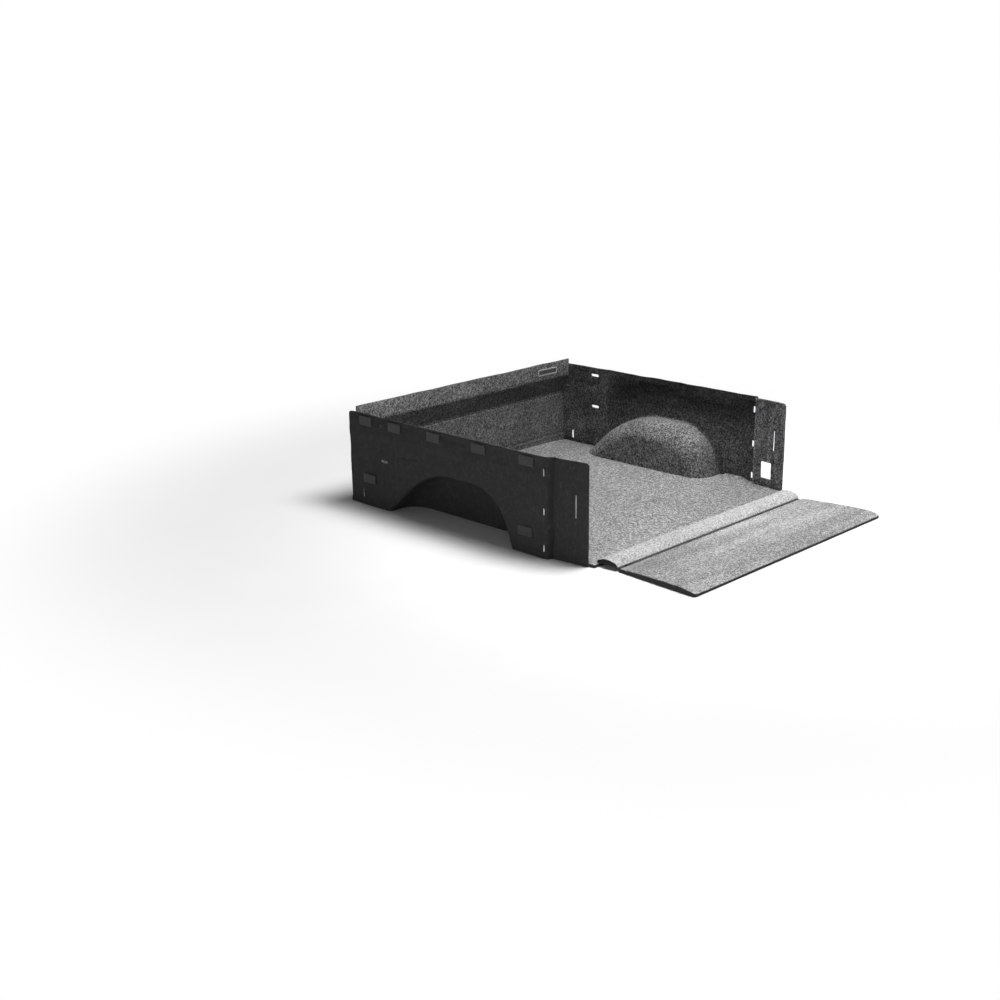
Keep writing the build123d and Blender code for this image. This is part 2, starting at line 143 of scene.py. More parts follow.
def catmull(points, per=10):
    """A smooth open curve through the points."""
    p = np.array(points, float)
    p = np.vstack([2 * p[0] - p[1], p, 2 * p[-1] - p[-2]])
    out = []
    for i in range(1, len(p) - 2):
        for k in range(per):
            t = k / per
            a, b, c, d = p[i - 1], p[i], p[i + 1], p[i + 2]
            out.append(0.5 * (2 * b + (c - a) * t + (2 * a - 5 * b + 4 * c - d) * t**2 + (3 * b - a - 3 * c + d) * t**3))
    out.append(p[-2])
    return np.array(out)


def even(curve, count):
    """The curve resampled to `count` evenly spaced points."""
    curve = np.asarray(curve, float)
    d = np.r_[0, np.cumsum(np.linalg.norm(np.diff(curve, axis=0), axis=1))]
    t = np.linspace(0, d[-1], count)
    return np.stack([np.interp(t, d, curve[:, k]) for k in range(curve.shape[1])], 1)


def inside(points, loop):
    points, loop = np.asarray(points, float), np.asarray(loop, float)
    hit = np.zeros(len(points), bool)
    nxt = np.roll(loop, -1, axis=0)
    for (ax, ay), (bx, by) in zip(loop, nxt):
        if ay == by:
            continue
        cross = (points[:, 1] > ay) != (points[:, 1] > by)
        hit ^= cross & (points[:, 0] < (bx - ax) * (points[:, 1] - ay) / (by - ay) + ax)
    return hit


def edge_distance(points, loops):
    points = np.asarray(points, float)
    best = np.full(len(points), 1e9)
    for loop in loops:
        loop = np.asarray(loop, float)
        for a, b in zip(loop, np.roll(loop, -1, axis=0)):
            d = b - a
            t = np.clip(((points - a) @ d) / max(d @ d, 1e-9), 0, 1)
            q = points - (a + t[:, None] * d)
            best = np.minimum(best, np.einsum("ij,ij->i", q, q))
    return np.sqrt(best)


def dense(loop, gap):
    loop = np.asarray(loop, float)
    out = []
    for a, b in zip(loop, np.roll(loop, -1, axis=0)):
        n = max(1, int(math.ceil(np.linalg.norm(b - a) / gap)))
        out += [a + (b - a) * k / n for k in range(n)]
    return np.array(out)


def slot_loop(cy, cz, length, width, turn, n=9):
    r, h = width / 2, (length - width) / 2
    pts = [(h + r * math.sin(a), -r * math.cos(a)) for a in np.linspace(0, math.pi, n)]
    pts += [(-h - r * math.sin(a), r * math.cos(a)) for a in np.linspace(0, math.pi, n)]
    c, s = math.cos(math.radians(turn)), math.sin(math.radians(turn))
    return np.array([(cy + x * c - y * s, cz + x * s + y * c) for x, y in pts])


def round_rect(cx, cy, w, h, r, n=6):
    pts = []
    for sx, sy, a0 in ((1, 1, 0), (-1, 1, 90), (-1, -1, 180), (1, -1, 270)):
        for a in np.linspace(a0, a0 + 90, n):
            a = math.radians(a)
            pts.append((cx + sx * (w / 2 - r) + r * math.cos(a), cy + sy * (h / 2 - r) + r * math.sin(a)))
    return np.array(pts)


def region(outer, holes, gap, extra=None, rings=(1.6, 5.0)):
    """Triangles over a flat outline with holes: (points, triangles, distance of each point to the outline)."""
    loops = [dense(outer, gap * 0.8)] + [dense(h, min(gap, 5.0)) for h in holes]
    lo, hi = loops[0].min(0), loops[0].max(0)
    ys = np.arange(lo[1], hi[1], gap * 0.866)
    grid = [(x + (gap / 2 if i % 2 else 0), y) for i, y in enumerate(ys) for x in np.arange(lo[0], hi[0], gap)]
    grid = np.array(grid)
    far = edge_distance(grid, loops)
    grid = grid[(far > gap * 0.55)]
    extras = [grid]
    if extra is not None and len(extra):
        e = np.asarray(extra, float)
        extras.append(e[edge_distance(e, loops) > 1.5])
    near = []
    for loop in loops:
        t = np.roll(loop, -1, axis=0) - np.roll(loop, 1, axis=0)
        n = np.stack([-t[:, 1], t[:, 0]], 1) / np.maximum(np.linalg.norm(t, axis=1), 1e-9)[:, None]
        for r in rings:
            for s in (1, -1):
                near.append(loop + n * r * s)
    for q in near:
        d = edge_distance(q, loops)
        extras.append(q[d > min(rings) * 0.9])
    inner = np.vstack(extras)
    ok = inside(inner, loops[0])
    for h in loops[1:]:
        ok &= ~inside(inner, h)
    inner = inner[ok]
    coords, edges, base = [], [], 0
    for loop in loops:
        coords += [Vector(p) for p in loop]
        edges += [(base + i, base + (i + 1) % len(loop)) for i in range(len(loop))]
        base += len(loop)
    coords += [Vector(p) for p in inner]
    v, _, f, _, _, _ = delaunay_2d_cdt(coords, edges, [], 0, 1e-4)
    v = np.array([tuple(p) for p in v])
    f = np.array([tuple(t) for t in f if len(t) == 3])
    mid = v[f].mean(1)
    ok = inside(mid, loops[0])
    for h in loops[1:]:
        ok &= ~inside(mid, h)
    f = f[ok]
    used = np.unique(f)
    back = np.full(len(v), -1)
    back[used] = np.arange(len(used))
    v, f = v[used], back[f]
    return v, f, edge_distance(v, loops)


def rim_of(faces):
    """Edges used by one face only, in the direction that face uses them."""
    seen = {}
    for f in faces:
        f = [int(i) for i in f]
        for a, b in zip(f, f[1:] + f[:1]):
            if (b, a) in seen:
                del seen[(b, a)]
            else:
                seen[(a, b)] = True
    return list(seen)


def normals_of(verts, faces):
    n = np.zeros_like(verts)
    for f in faces:
        p = verts[list(f)]
        if len(f) == 3:
            c = np.cross(p[1] - p[0], p[2] - p[0])
        else:
            c = np.cross(p[2] - p[0], p[3] - p[1])
        for i in f:
            n[i] += c
    return n / np.maximum(np.linalg.norm(n, axis=1), 1e-12)[:, None]


def make(name, verts, faces, materials, slots=None, smooth=40.0, recalc=True):
    mesh = bpy.data.meshes.new(name)
    mesh.from_pydata((np.asarray(verts, float) * MM).tolist(), [], [tuple(int(i) for i in f) for f in faces])
    for m in materials:
        mesh.materials.append(m)
    if slots is not None:
        mesh.polygons.foreach_set("material_index", np.asarray(slots, np.int32))
    if recalc:
        bm = bmesh.new()
        bm.from_mesh(mesh)
        bmesh.ops.recalc_face_normals(bm, faces=bm.faces)
        bm.to_mesh(mesh)
        bm.free()
    mesh.polygons.foreach_set("use_smooth", [True] * len(mesh.polygons))
    mesh.set_sharp_from_angle(angle=math.radians(smooth))
    mesh.update()
    obj = bpy.data.objects.new(name, mesh)
    scene.collection.objects.link(obj)
    return obj


def closed(top, bottom, faces):
    """A closed shell from two matching surfaces: vertices, faces, and 0 top, 1 bottom, 2 rim for each face."""
    n = len(top)
    out = [tuple(f) for f in faces] + [tuple(int(i) + n for i in f[::-1]) for f in faces]
    kind = [0] * len(faces) + [1] * len(faces)
    for a, b in rim_of(faces):
        out.append((b, a, a + n, b + n))
        kind.append(2)
    return np.vstack([top, bottom]), out, kind


def grid_faces(rows, cols, offset=0, wrap=False):
    out = []
    for i in range(rows - 1):
        for j in range(cols if wrap else cols - 1):
            a, b = offset + i * cols + j, offset + i * cols + (j + 1) % cols
            out.append((a, b, b + cols, a + cols))
    return out


# ====================================================================== materials
class Shader:
    """A small builder for node materials."""

    def __init__(self, name):
        self.mat = bpy.data.materials.new(name)
        self.mat.use_nodes = True
        self.tree = self.mat.node_tree
        self.tree.nodes.clear()
        self.out = self.tree.nodes.new("ShaderNodeOutputMaterial")
        self.bsdf = self.tree.nodes.new("ShaderNodeBsdfPrincipled")
        self.tree.links.new(self.bsdf.outputs[0], self.out.inputs["Surface"])
        self.coord = self.tree.nodes.new("ShaderNodeTexCoord").outputs["Object"]

    def put(self, socket, value):
        if hasattr(value, "is_output") or isinstance(value, bpy.types.NodeSocket):
            self.tree.links.new(value, socket)
        else:
            socket.default_value = value

    def node(self, kind, output=0, settings=None, **inputs):
        n = self.tree.nodes.new(kind)
        for k, v in (settings or {}).items():
            setattr(n, k, v)
        for k, v in inputs.items():
            key = int(k[1:]) if k[0] == "i" and k[1:].isdigit() else k.replace("_", " ")
            self.put(n.inputs[key], v)
        return n.outputs[output]

    def scaled(self, x=1.0, y=1.0, z=1.0, source=None, turn=(0, 0, 0)):
        return self.node("ShaderNodeMapping", Vector=source or self.coord, Scale=(x, y, z), Rotation=turn)

    def noise(self, scale, detail=2.0, rough=0.5, source=None, distortion=0.0):
        return self.node("ShaderNodeTexNoise", Vector=source or self.coord, Scale=scale, Detail=detail, Roughness=rough, Distortion=distortion)

    def cells(self, scale, output="Distance", source=None, feature="F1", random=1.0):
        return self.node("ShaderNodeTexVoronoi", output, {"feature": feature}, Vector=source or self.coord, Scale=scale, Randomness=random)

    def math(self, op, a, b=0.0, c=0.0, clamp=False):
        n = self.tree.nodes.new("ShaderNodeMath")
        n.operation, n.use_clamp = op, clamp
        for i, v in enumerate((a, b, c)):
            self.put(n.inputs[i], v)
        return n.outputs[0]

    def fit(self, value, a, b, c=0.0, d=1.0, smooth=False):
        return self.node(
            "ShaderNodeMapRange",
            settings={"interpolation_type": "SMOOTHSTEP" if smooth else "LINEAR"},
            Value=value,
            From_Min=a,
            From_Max=b,
            To_Min=c,
            To_Max=d,
        )

    def colours(self, value, stops):
        n = self.tree.nodes.new("ShaderNodeValToRGB")
        self.put(n.inputs[0], value)
        while len(n.color_ramp.elements) < len(stops):
            n.color_ramp.elements.new(0.5)
        for e, (at, colour) in zip(n.color_ramp.elements, stops):
            e.position, e.color = at, (*colour, 1.0)
        return n.outputs[0]

    def mix(self, factor, a, b, blend="MIX"):
        n = self.tree.nodes.new("ShaderNodeMix")
        n.data_type, n.blend_type = "RGBA", blend
        self.put(n.inputs[0], factor)
        self.put(n.inputs[6], a)
        self.put(n.inputs[7], b)
        return n.outputs[2]

    def axis(self, which, source=None):
        return self.node("ShaderNodeSeparateXYZ", which, Vector=source or self.coord)

    def bump(self, height, distance, strength=1.0, normal=None):
        n = self.tree.nodes.new("ShaderNodeBump")
        n.inputs["Distance"].default_value = distance
        n.inputs["Strength"].default_value = strength
        self.put(n.inputs["Height"], height)
        if normal is not None:
            self.put(n.inputs["Normal"], normal)
        return n.outputs[0]

    def done(self, colour, rough=0.6, normal=None, metal=0.0, sheen=0.0, sheen_rough=0.5, specular=0.5, coat=0.0):
        b = self.bsdf.inputs
        self.put(b["Base Color"], colour)
        self.put(b["Roughness"], rough)
        self.put(b["Metallic"], metal)
        self.put(b["Sheen Weight"], sheen)
        self.put(b["Sheen Roughness"], sheen_rough)
        self.put(b["Specular IOR Level"], specular)
        self.put(b["Coat Weight"], coat)
        if normal is not None:
            self.put(b["Normal"], normal)
        return self.mat


def grey(v, tint=0.0):
    return (v * (1 - tint), v, v * (1 + tint))


def carpet(name, dark, mid, light, band=0.0, clump=0.5, nap=0.25, grain=1.0, sheen=0.3, painted_shading=None):
    """Needle-punched heather carpet: dark and light fibres in clumps, with brushed nap. The last argument picks a
    panel whose colour gets painted light and shade laid by position.
    """
    s = Shader(name)
    fibres = None
    for turn, stretch in (((0.6, 0.3, 0.6), (1.0, 0.16, 1.0)), ((-0.5, 0.4, -0.9), (0.16, 1.0, 1.0)), ((0.9, -0.4, 0.2), (1.0, 1.0, 0.16))):
        one = s.noise(820.0, 1.0, 0.5, s.scaled(*stretch, source=s.scaled(turn=turn)), 0.35)
        fibres = one if fibres is None else s.math("MAXIMUM", fibres, one)
    fine = s.noise(1150.0, 1.0, 0.7)
    fleck = s.axis(0, s.cells(330.0, "Color"))
    clumps = s.noise(90.0, 3.0, 0.62, distortion=0.5)
    tufts = s.noise(230.0, 1.0, 0.6)
    patch = s.noise(20.0, 3.0, 0.55, distortion=0.4)
    wide = s.noise(4.2, 2.0, 0.5)
    v = s.math("MULTIPLY", s.math("SUBTRACT", fibres, 0.6), 2.3)
    v = s.math("ADD", v, s.math("MULTIPLY", s.math("SUBTRACT", fine, 0.5), 0.9))
    v = s.math("ADD", v, s.math("MULTIPLY", s.math("SUBTRACT", fleck, 0.5), 0.22))
    v = s.math("ADD", v, s.math("MULTIPLY", s.math("SUBTRACT", clumps, 0.5), 2.3 * clump * grain))
    v = s.math("ADD", v, s.math("MULTIPLY", s.math("SUBTRACT", tufts, 0.5), 1.5 * clump * grain))
    v = s.math("ADD", v, s.math("MULTIPLY", s.math("SUBTRACT", patch, 0.5), 0.55 * nap))
    v = s.math("ADD", v, s.math("MULTIPLY", s.math("SUBTRACT", wide, 0.5), 0.8 * nap))
    if band:
        stripes = s.noise(10.0, 2.0, 0.5, s.scaled(0.09, 1.0, 1.0))
        v = s.math("ADD", v, s.math("MULTIPLY", s.math("SUBTRACT", stripes, 0.5), band))
    v = s.math("ADD", v, 0.5, clamp=True)
    colour = s.colours(v, [(0.0, grey(dark, 0.01)), (0.3, grey(dark * 0.45 + mid * 0.55, 0.01)), (0.52, grey(mid, 0.008)), (0.76, grey(mid * 0.45 + light * 0.55, 0.006)), (1.0, grey(light, 0.004))])
    if painted_shading == "side":
        # painted shade: the upright wall is darkened, while the wheel well cover and the post stay lighter
        reach = s.math("ABSOLUTE", s.axis(0))
        shade = s.fit(reach, 0.884, 0.8935, 1.0, 0.49, smooth=True)
        # painted shadow under the rail: the upper part of the side darker, except near the front
        high = s.math("MULTIPLY", s.fit(s.axis(2), 0.29, 0.42, 0.0, 0.62, smooth=True), s.fit(s.axis(1), 1.25, 1.4, 1.0, 0.0, smooth=True))
        shade = s.math("MULTIPLY", shade, s.math("SUBTRACT", 1.0, high))
        # painted shade on the rear end of the wheel well cover
        away = s.math("MULTIPLY", s.fit(s.axis(1), 0.52, 0.68, 0.42, 0.0, smooth=True), s.fit(reach, 0.884, 0.8935, 1.0, 0.0))
        shade = s.math("MULTIPLY", shade, s.math("SUBTRACT", 1.0, away))
        # painted shade: everything from the top of the wheel well cover upward slightly darker
        shade = s.math("MULTIPLY", shade, s.fit(s.axis(2), 0.22, 0.28, 1.0, 0.86, smooth=True))
        # painted shade on the rear post, broken into streaks
        post = s.math("MULTIPLY", s.fit(s.axis(1), 0.228, 0.24, 1.0, 0.0), s.fit(reach, 0.80, 0.83))
        streak = s.fit(s.noise(28.0, 2.0, 0.5, s.scaled(1.0, 1.0, 0.12)), 0.35, 0.65, 0.85, 1.6)
        shade = s.mix(post, s.node("ShaderNodeCombineColor", Red=shade, Green=shade, Blue=shade), s.node("ShaderNodeCombineColor", Red=s.math("MULTIPLY", streak, 0.57), Green=s.math("MULTIPLY", streak, 0.57), Blue=s.math("MULTIPLY", streak, 0.57)))
        # painted highlight along the ridge where the wall turns in to the post
        ridge = s.math("MULTIPLY", s.fit(s.math("ABSOLUTE", s.math("SUBTRACT", s.axis(1), 0.2395)), 0.003, 0.009, 0.75, 0.0, smooth=True), s.fit(reach, 0.80, 0.83))
        shade = s.mix(1.0, shade, s.node("ShaderNodeCombineColor", Red=ridge, Green=ridge, Blue=ridge), "ADD")
        colour = s.mix(1.0, colour, shade, "MULTIPLY")
    if painted_shading == "mat":
        # painted light: the tailgate mat lighter towards the zip seam, where it slopes away from the overhead light
        shade = s.fit(s.axis(1), -0.25, -0.15, 1.0, 1.22, smooth=True)
        colour = s.mix(1.0, colour, s.node("ShaderNodeCombineColor", Red=shade, Green=shade, Blue=shade), "MULTIPLY")
    if painted_shading == "floor":
        # painted shade: the floor darker towards the front panel, and near the rear lighter to the left and darker to
        # the right
        shade = s.fit(s.axis(1), 1.05, 1.68, 1.0, 0.66, smooth=True)
        across = s.fit(s.axis(0), -0.2, 0.8, 0.09, -0.12, smooth=True)
        shade = s.math("MULTIPLY", shade, s.math("ADD", 1.0, s.math("MULTIPLY", across, s.fit(s.axis(1), 0.15, 0.6, 1.0, 0.0, smooth=True))))
        colour = s.mix(1.0, colour, s.node("ShaderNodeCombineColor", Red=shade, Green=shade, Blue=shade), "MULTIPLY")
    if painted_shading == "front":
        # painted light and shade: painted shade on the undercut slope under the top band, the top band painted
        # lighter, and the whole panel lighter to the left and darker to the right
        under = s.math("MULTIPLY", s.fit(s.axis(2), 0.335, 0.352, 0.0, 1.0, smooth=True), s.fit(s.axis(2), 0.448, 0.462, 1.0, 0.0, smooth=True))
        band = s.math("MULTIPLY", s.fit(s.axis(2), 0.455, 0.47, 1.0, 1.2), s.fit(s.axis(0), -0.6, 0.7, 1.24, 0.86, smooth=True))
        shade = s.math("MULTIPLY", band, s.math("SUBTRACT", 1.0, s.math("MULTIPLY", under, 0.36)))
        # painted shade along the pressed fold lines: one along the bottom of the slope, two near the foot
        sway = s.math("MULTIPLY", s.math("SUBTRACT", s.noise(2.2, 1.0, 0.4), 0.5), 0.012)
        for line, crease_shade_depth, half in ((0.336, 0.5, 0.0042), (0.073, 0.42, 0.0045), (0.046, 0.38, 0.0045)):
            at = s.math("ABSOLUTE", s.math("SUBTRACT", s.axis(2), s.math("ADD", sway, line) if line < 0.2 else line))
            shade = s.math("MULTIPLY", shade, s.fit(at, half * 0.4, half, 1.0 - crease_shade_depth, 1.0, smooth=True))
        # painted highlights along the edges of the fold lines
        for line in (0.328, 0.0595):
            at = s.math("ABSOLUTE", s.math("SUBTRACT", s.axis(2), s.math("ADD", sway, line) if line < 0.2 else line))
            shade = s.math("MULTIPLY", shade, s.fit(at, 0.001, 0.006, 1.3, 1.0, smooth=True))
        colour = s.mix(1.0, colour, s.node("ShaderNodeCombineColor", Red=shade, Green=shade, Blue=shade), "MULTIPLY")
    height = s.math("ADD", s.math("MULTIPLY", fine, 0.5), s.math("MULTIPLY", fibres, 1.6))
    height = s.math("ADD", height, s.math("MULTIPLY", clumps, 1.7))
    height = s.math("ADD", height, s.math("MULTIPLY", tufts, 1.0))
    normal = s.bump(height, 0.0024, 0.8)
    return s.done(colour, 0.96, normal, sheen=sheen, sheen_rough=0.55, specular=0.1)


def foam_material(name, tone=0.012):
    """Closed-cell foam: fine pores and skived, faintly streaked faces."""
    s = Shader(name)
    pores = s.cells(420.0, "Distance")
    cells = s.cells(1100.0, "Distance")
    cloud = s.noise(30.0, 3.0, 0.6)
    streak = s.noise(55.0, 2.0, 0.5, s.scaled(0.15, 1.0, 1.0))
    v = s.math("ADD", s.math("MULTIPLY", cloud, 0.6), s.math("MULTIPLY", streak, 0.4))
    colour = s.colours(v, [(0.25, grey(tone * 0.7)), (0.5, grey(tone)), (0.8, grey(tone * 2.2))])
    height = s.math("ADD", s.math("MULTIPLY", s.fit(pores, 0.0, 0.35), 1.0), s.math("MULTIPLY", s.fit(cells, 0.0, 0.4), 0.5))
    return s.done(colour, s.fit(cloud, 0.3, 0.7, 0.72, 0.9), s.bump(height, 0.0006, 0.7), specular=0.3)


def web_material(name, tone, pitch=0.0011, sheen=0.2):
    """Woven narrow tape: a fine twill with darker gaps between the picks."""
    s = Shader(name)
    k = 1.0 / pitch
    x, y, z = (s.axis(i) for i in range(3))
    along = s.math("MULTIPLY", x, k * 2 * math.pi)
    across = s.math("MULTIPLY", s.math("ADD", y, z), k * 2 * math.pi)
    warp = s.math("SINE", s.math("ADD", along, across))
    weft = s.math("SINE", s.math("SUBTRACT", along, s.math("MULTIPLY", across, 0.5)))
    v = s.math("ADD", s.math("MULTIPLY", warp, 0.5), s.math("MULTIPLY", weft, 0.3))
    dirt = s.noise(160.0, 3.0, 0.6)
    t = s.math("ADD", s.fit(v, -0.8, 0.8), s.math("MULTIPLY", s.math("SUBTRACT", dirt, 0.5), 0.7), clamp=True)
    colour = s.colours(t, [(0.1, grey(tone * 0.4)), (0.55, grey(tone)), (0.95, grey(tone * 2.0))])
    return s.done(colour, 0.8, s.bump(v, 0.0003, 0.8), sheen=sheen, specular=0.25)


def hook_material(name, tone, loops=False):
    """Hook tape in rows of tiny hooks, or loop tape with a curly nap."""
    s = Shader(name)
    if loops:
        a = s.noise(900.0, 3.0, 0.7, distortion=2.0)
        b = s.noise(260.0, 2.0, 0.5)
        v = s.math("ADD", s.math("MULTIPLY", a, 0.7), s.math("MULTIPLY", b, 0.3))
    else:
        a = s.cells(620.0, "Distance", random=0.25)
        v = s.fit(a, 0.1, 0.5, 1.0, 0.0)
    colour = s.colours(v, [(0.2, grey(tone * 0.45)), (0.5, grey(tone)), (0.8, grey(tone * 2.4))])
    return s.done(colour, 0.7 if loops else 0.42, s.bump(v, 0.0006, 0.8), sheen=0.3 if loops else 0.0, specular=0.35)


def metal_material(name):
    """Black enamel on die-cast metal, rubbed on its edges."""
    s = Shader(name)
    geometry = s.tree.nodes.new("ShaderNodeNewGeometry")
    grain = s.noise(1800.0, 3.0, 0.6)
    scuffs = s.noise(300.0, 4.0, 0.7)
    round_off = s.tree.nodes.new("ShaderNodeBevel")
    round_off.samples = 4
    round_off.inputs["Radius"].default_value = 0.0006
    flat = s.node("ShaderNodeVectorMath", 1, {"operation": "DOT_PRODUCT"}, i0=round_off.outputs[0], i1=geometry.outputs["Normal"])
    edge = s.fit(flat, 0.995, 0.9)
    worn = s.math("MULTIPLY", edge, s.fit(scuffs, 0.42, 0.6), clamp=True)
    colour = s.mix(worn, (0.012, 0.012, 0.013, 1), (0.42, 0.42, 0.43, 1))
    rough = s.fit(grain, 0.3, 0.7, 0.28, 0.44)
    return s.done(colour, rough, s.bump(grain, 0.00008, 0.5), metal=s.fit(worn, 0, 1, 0.15, 1.0), specular=0.5)


def nylon_material(name, tone=0.02):
    s = Shader(name)
    n = s.noise(1400.0, 3.0, 0.6)
    streak = s.noise(500.0, 2.0, 0.5, s.scaled(0.1, 1, 1))
    colour = s.colours(streak, [(0.3, grey(tone * 0.6)), (0.7, grey(tone * 1.6))])
    return s.done(colour, s.fit(n, 0.3, 0.7, 0.32, 0.5), s.bump(n, 0.00006, 0.4))


def thread_material(name, tone):
    s = Shader(name)
    ply = s.math("SINE", s.math("MULTIPLY", s.math("ADD", s.axis(0), s.math("ADD", s.axis(1), s.axis(2))), 2 * math.pi / 0.0009))
    colour = s.colours(s.fit(ply, -1, 1), [(0.1, grey(tone * 0.5)), (0.9, grey(tone * 1.3))])
    return s.done(colour, 0.6, s.bump(ply, 0.00015, 0.8), sheen=0.3)


# one carpet in several copies: the side and front copies have darker tones as painted shade and the guard's copy
# lighter tones as painted light; the floor, side, front and tailgate copies also get painted light and shade by
# position
floor_carpet = carpet("floor_carpet", 0.045, 0.235, 0.70, clump=0.6, nap=0.3, grain=2.1, painted_shading="floor")
side_carpet = carpet("side_carpet", 0.024, 0.15, 0.50, clump=0.6, nap=0.45, grain=1.9, sheen=0.06, painted_shading="side")
front_carpet_painted_shade = carpet("front_carpet_painted_shade", 0.014, 0.086, 0.31, clump=0.6, nap=0.4, grain=1.5, sheen=0.06, painted_shading="front")
guard_carpet = carpet("guard_carpet", 0.18, 0.52, 0.86, clump=0.5, nap=0.25, grain=1.7)
mat_carpet = carpet("tailgate_carpet", 0.065, 0.30, 0.74, band=0.95, clump=0.55, nap=0.3, grain=1.9, painted_shading="mat")
backing = carpet("carpet_backing", 0.012, 0.034, 0.09, clump=0.4)
foam = foam_material("closed_cell_foam", 0.02)
core_foam = foam_material("guard_core_foam", 0.010)
tape_web = web_material("zip_tape_web", 0.075, 0.0009)
base_web = web_material("base_web", 0.02, 0.0016, 0.1)
hooks = hook_material("hook_tape", 0.045)
loops = hook_material("loop_tape", 0.03, loops=True)
enamel = metal_material("zip_enamel")
nylon = nylon_material("zip_nylon", 0.035)
dark_thread = thread_material("dark_thread", 0.06)
light_thread = thread_material("light_thread", 0.7)
patch_web = web_material("patch_web", 0.03, 0.0008, 0.2)


def place(obj, body, slot, *replaced):
    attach(obj, body)
    if replaced:
        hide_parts(*replaced)
    return obj


# ====================================================================== side panels
def well_curve():
    """The wheel well's side profile and its inward normals, from below the floor at the rear to below it in front."""
    a, b = math.radians(WELL_REAR_DEG), math.radians(WELL_FRONT_DEG)
    c1 = WELL_REAR + WELL_TOP / math.tan(a)
    c2 = WELL_FRONT - WELL_TOP / math.tan(b)
    t1, t2 = WELL_REAR_R * math.tan(a / 2), WELL_FRONT_R * math.tan(b / 2)
    low = -60.0
    p0 = np.array([WELL_REAR + low / math.tan(a), low])
    p1 = np.array([c1 - t1 * math.cos(a), WELL_TOP - t1 * math.sin(a)])
    p5 = np.array([WELL_FRONT - low / math.tan(b), low])
    p4 = np.array([c2 + t2 * math.cos(b), WELL_TOP - t2 * math.sin(b)])
    pts, nrm = [], []

    def line(p, q, n, gap):
        k = max(2, int(np.linalg.norm(q - p) / gap))
        for i in range(k):
            pts.append(p + (q - p) * i / k)
            nrm.append(n)

    line(p0, p1, np.array([math.sin(a), -math.cos(a)]), 11.0)
    centre = np.array([c1 + t1, WELL_TOP - WELL_REAR_R])
    for th in np.linspace(math.pi / 2 + a, math.pi / 2, 27)[:-1]:
        d = np.array([math.cos(th), math.sin(th)])
        pts.append(centre + WELL_REAR_R * d)
        nrm.append(-d)
    line(np.array([c1 + t1, WELL_TOP]), np.array([c2 - t2, WELL_TOP]), np.array([0.0, -1.0]), 12.0)
    centre = np.array([c2 - t2, WELL_TOP - WELL_FRONT_R])
    for th in np.linspace(math.pi / 2, math.pi / 2 - b, 19)[:-1]:
        d = np.array([math.cos(th), math.sin(th)])
        pts.append(centre + WELL_FRONT_R * d)
        nrm.append(-d)
    line(p4, p5, np.array([-math.sin(b), -math.cos(b)]), 12.0)
    pts.append(p5)
    nrm.append(np.array([-math.sin(b), -math.cos(b)]))
    return np.array(pts), np.array(nrm)


def wall_line(y):
    """The inner face's X along the panel: the flat wall, then in to the rear post."""
    y = np.asarray(y, float)
    post = POST_REAR_X + (POST_FRONT_X - POST_REAR_X) * (y - SIDE_REAR) / (POST_STEP_Y - 16.0 - SIDE_REAR)
    return post + (WALL_X - post) * ramp(POST_STEP_Y - 17.0, POST_STEP_Y + 1.0, y)


COVE = 9.0


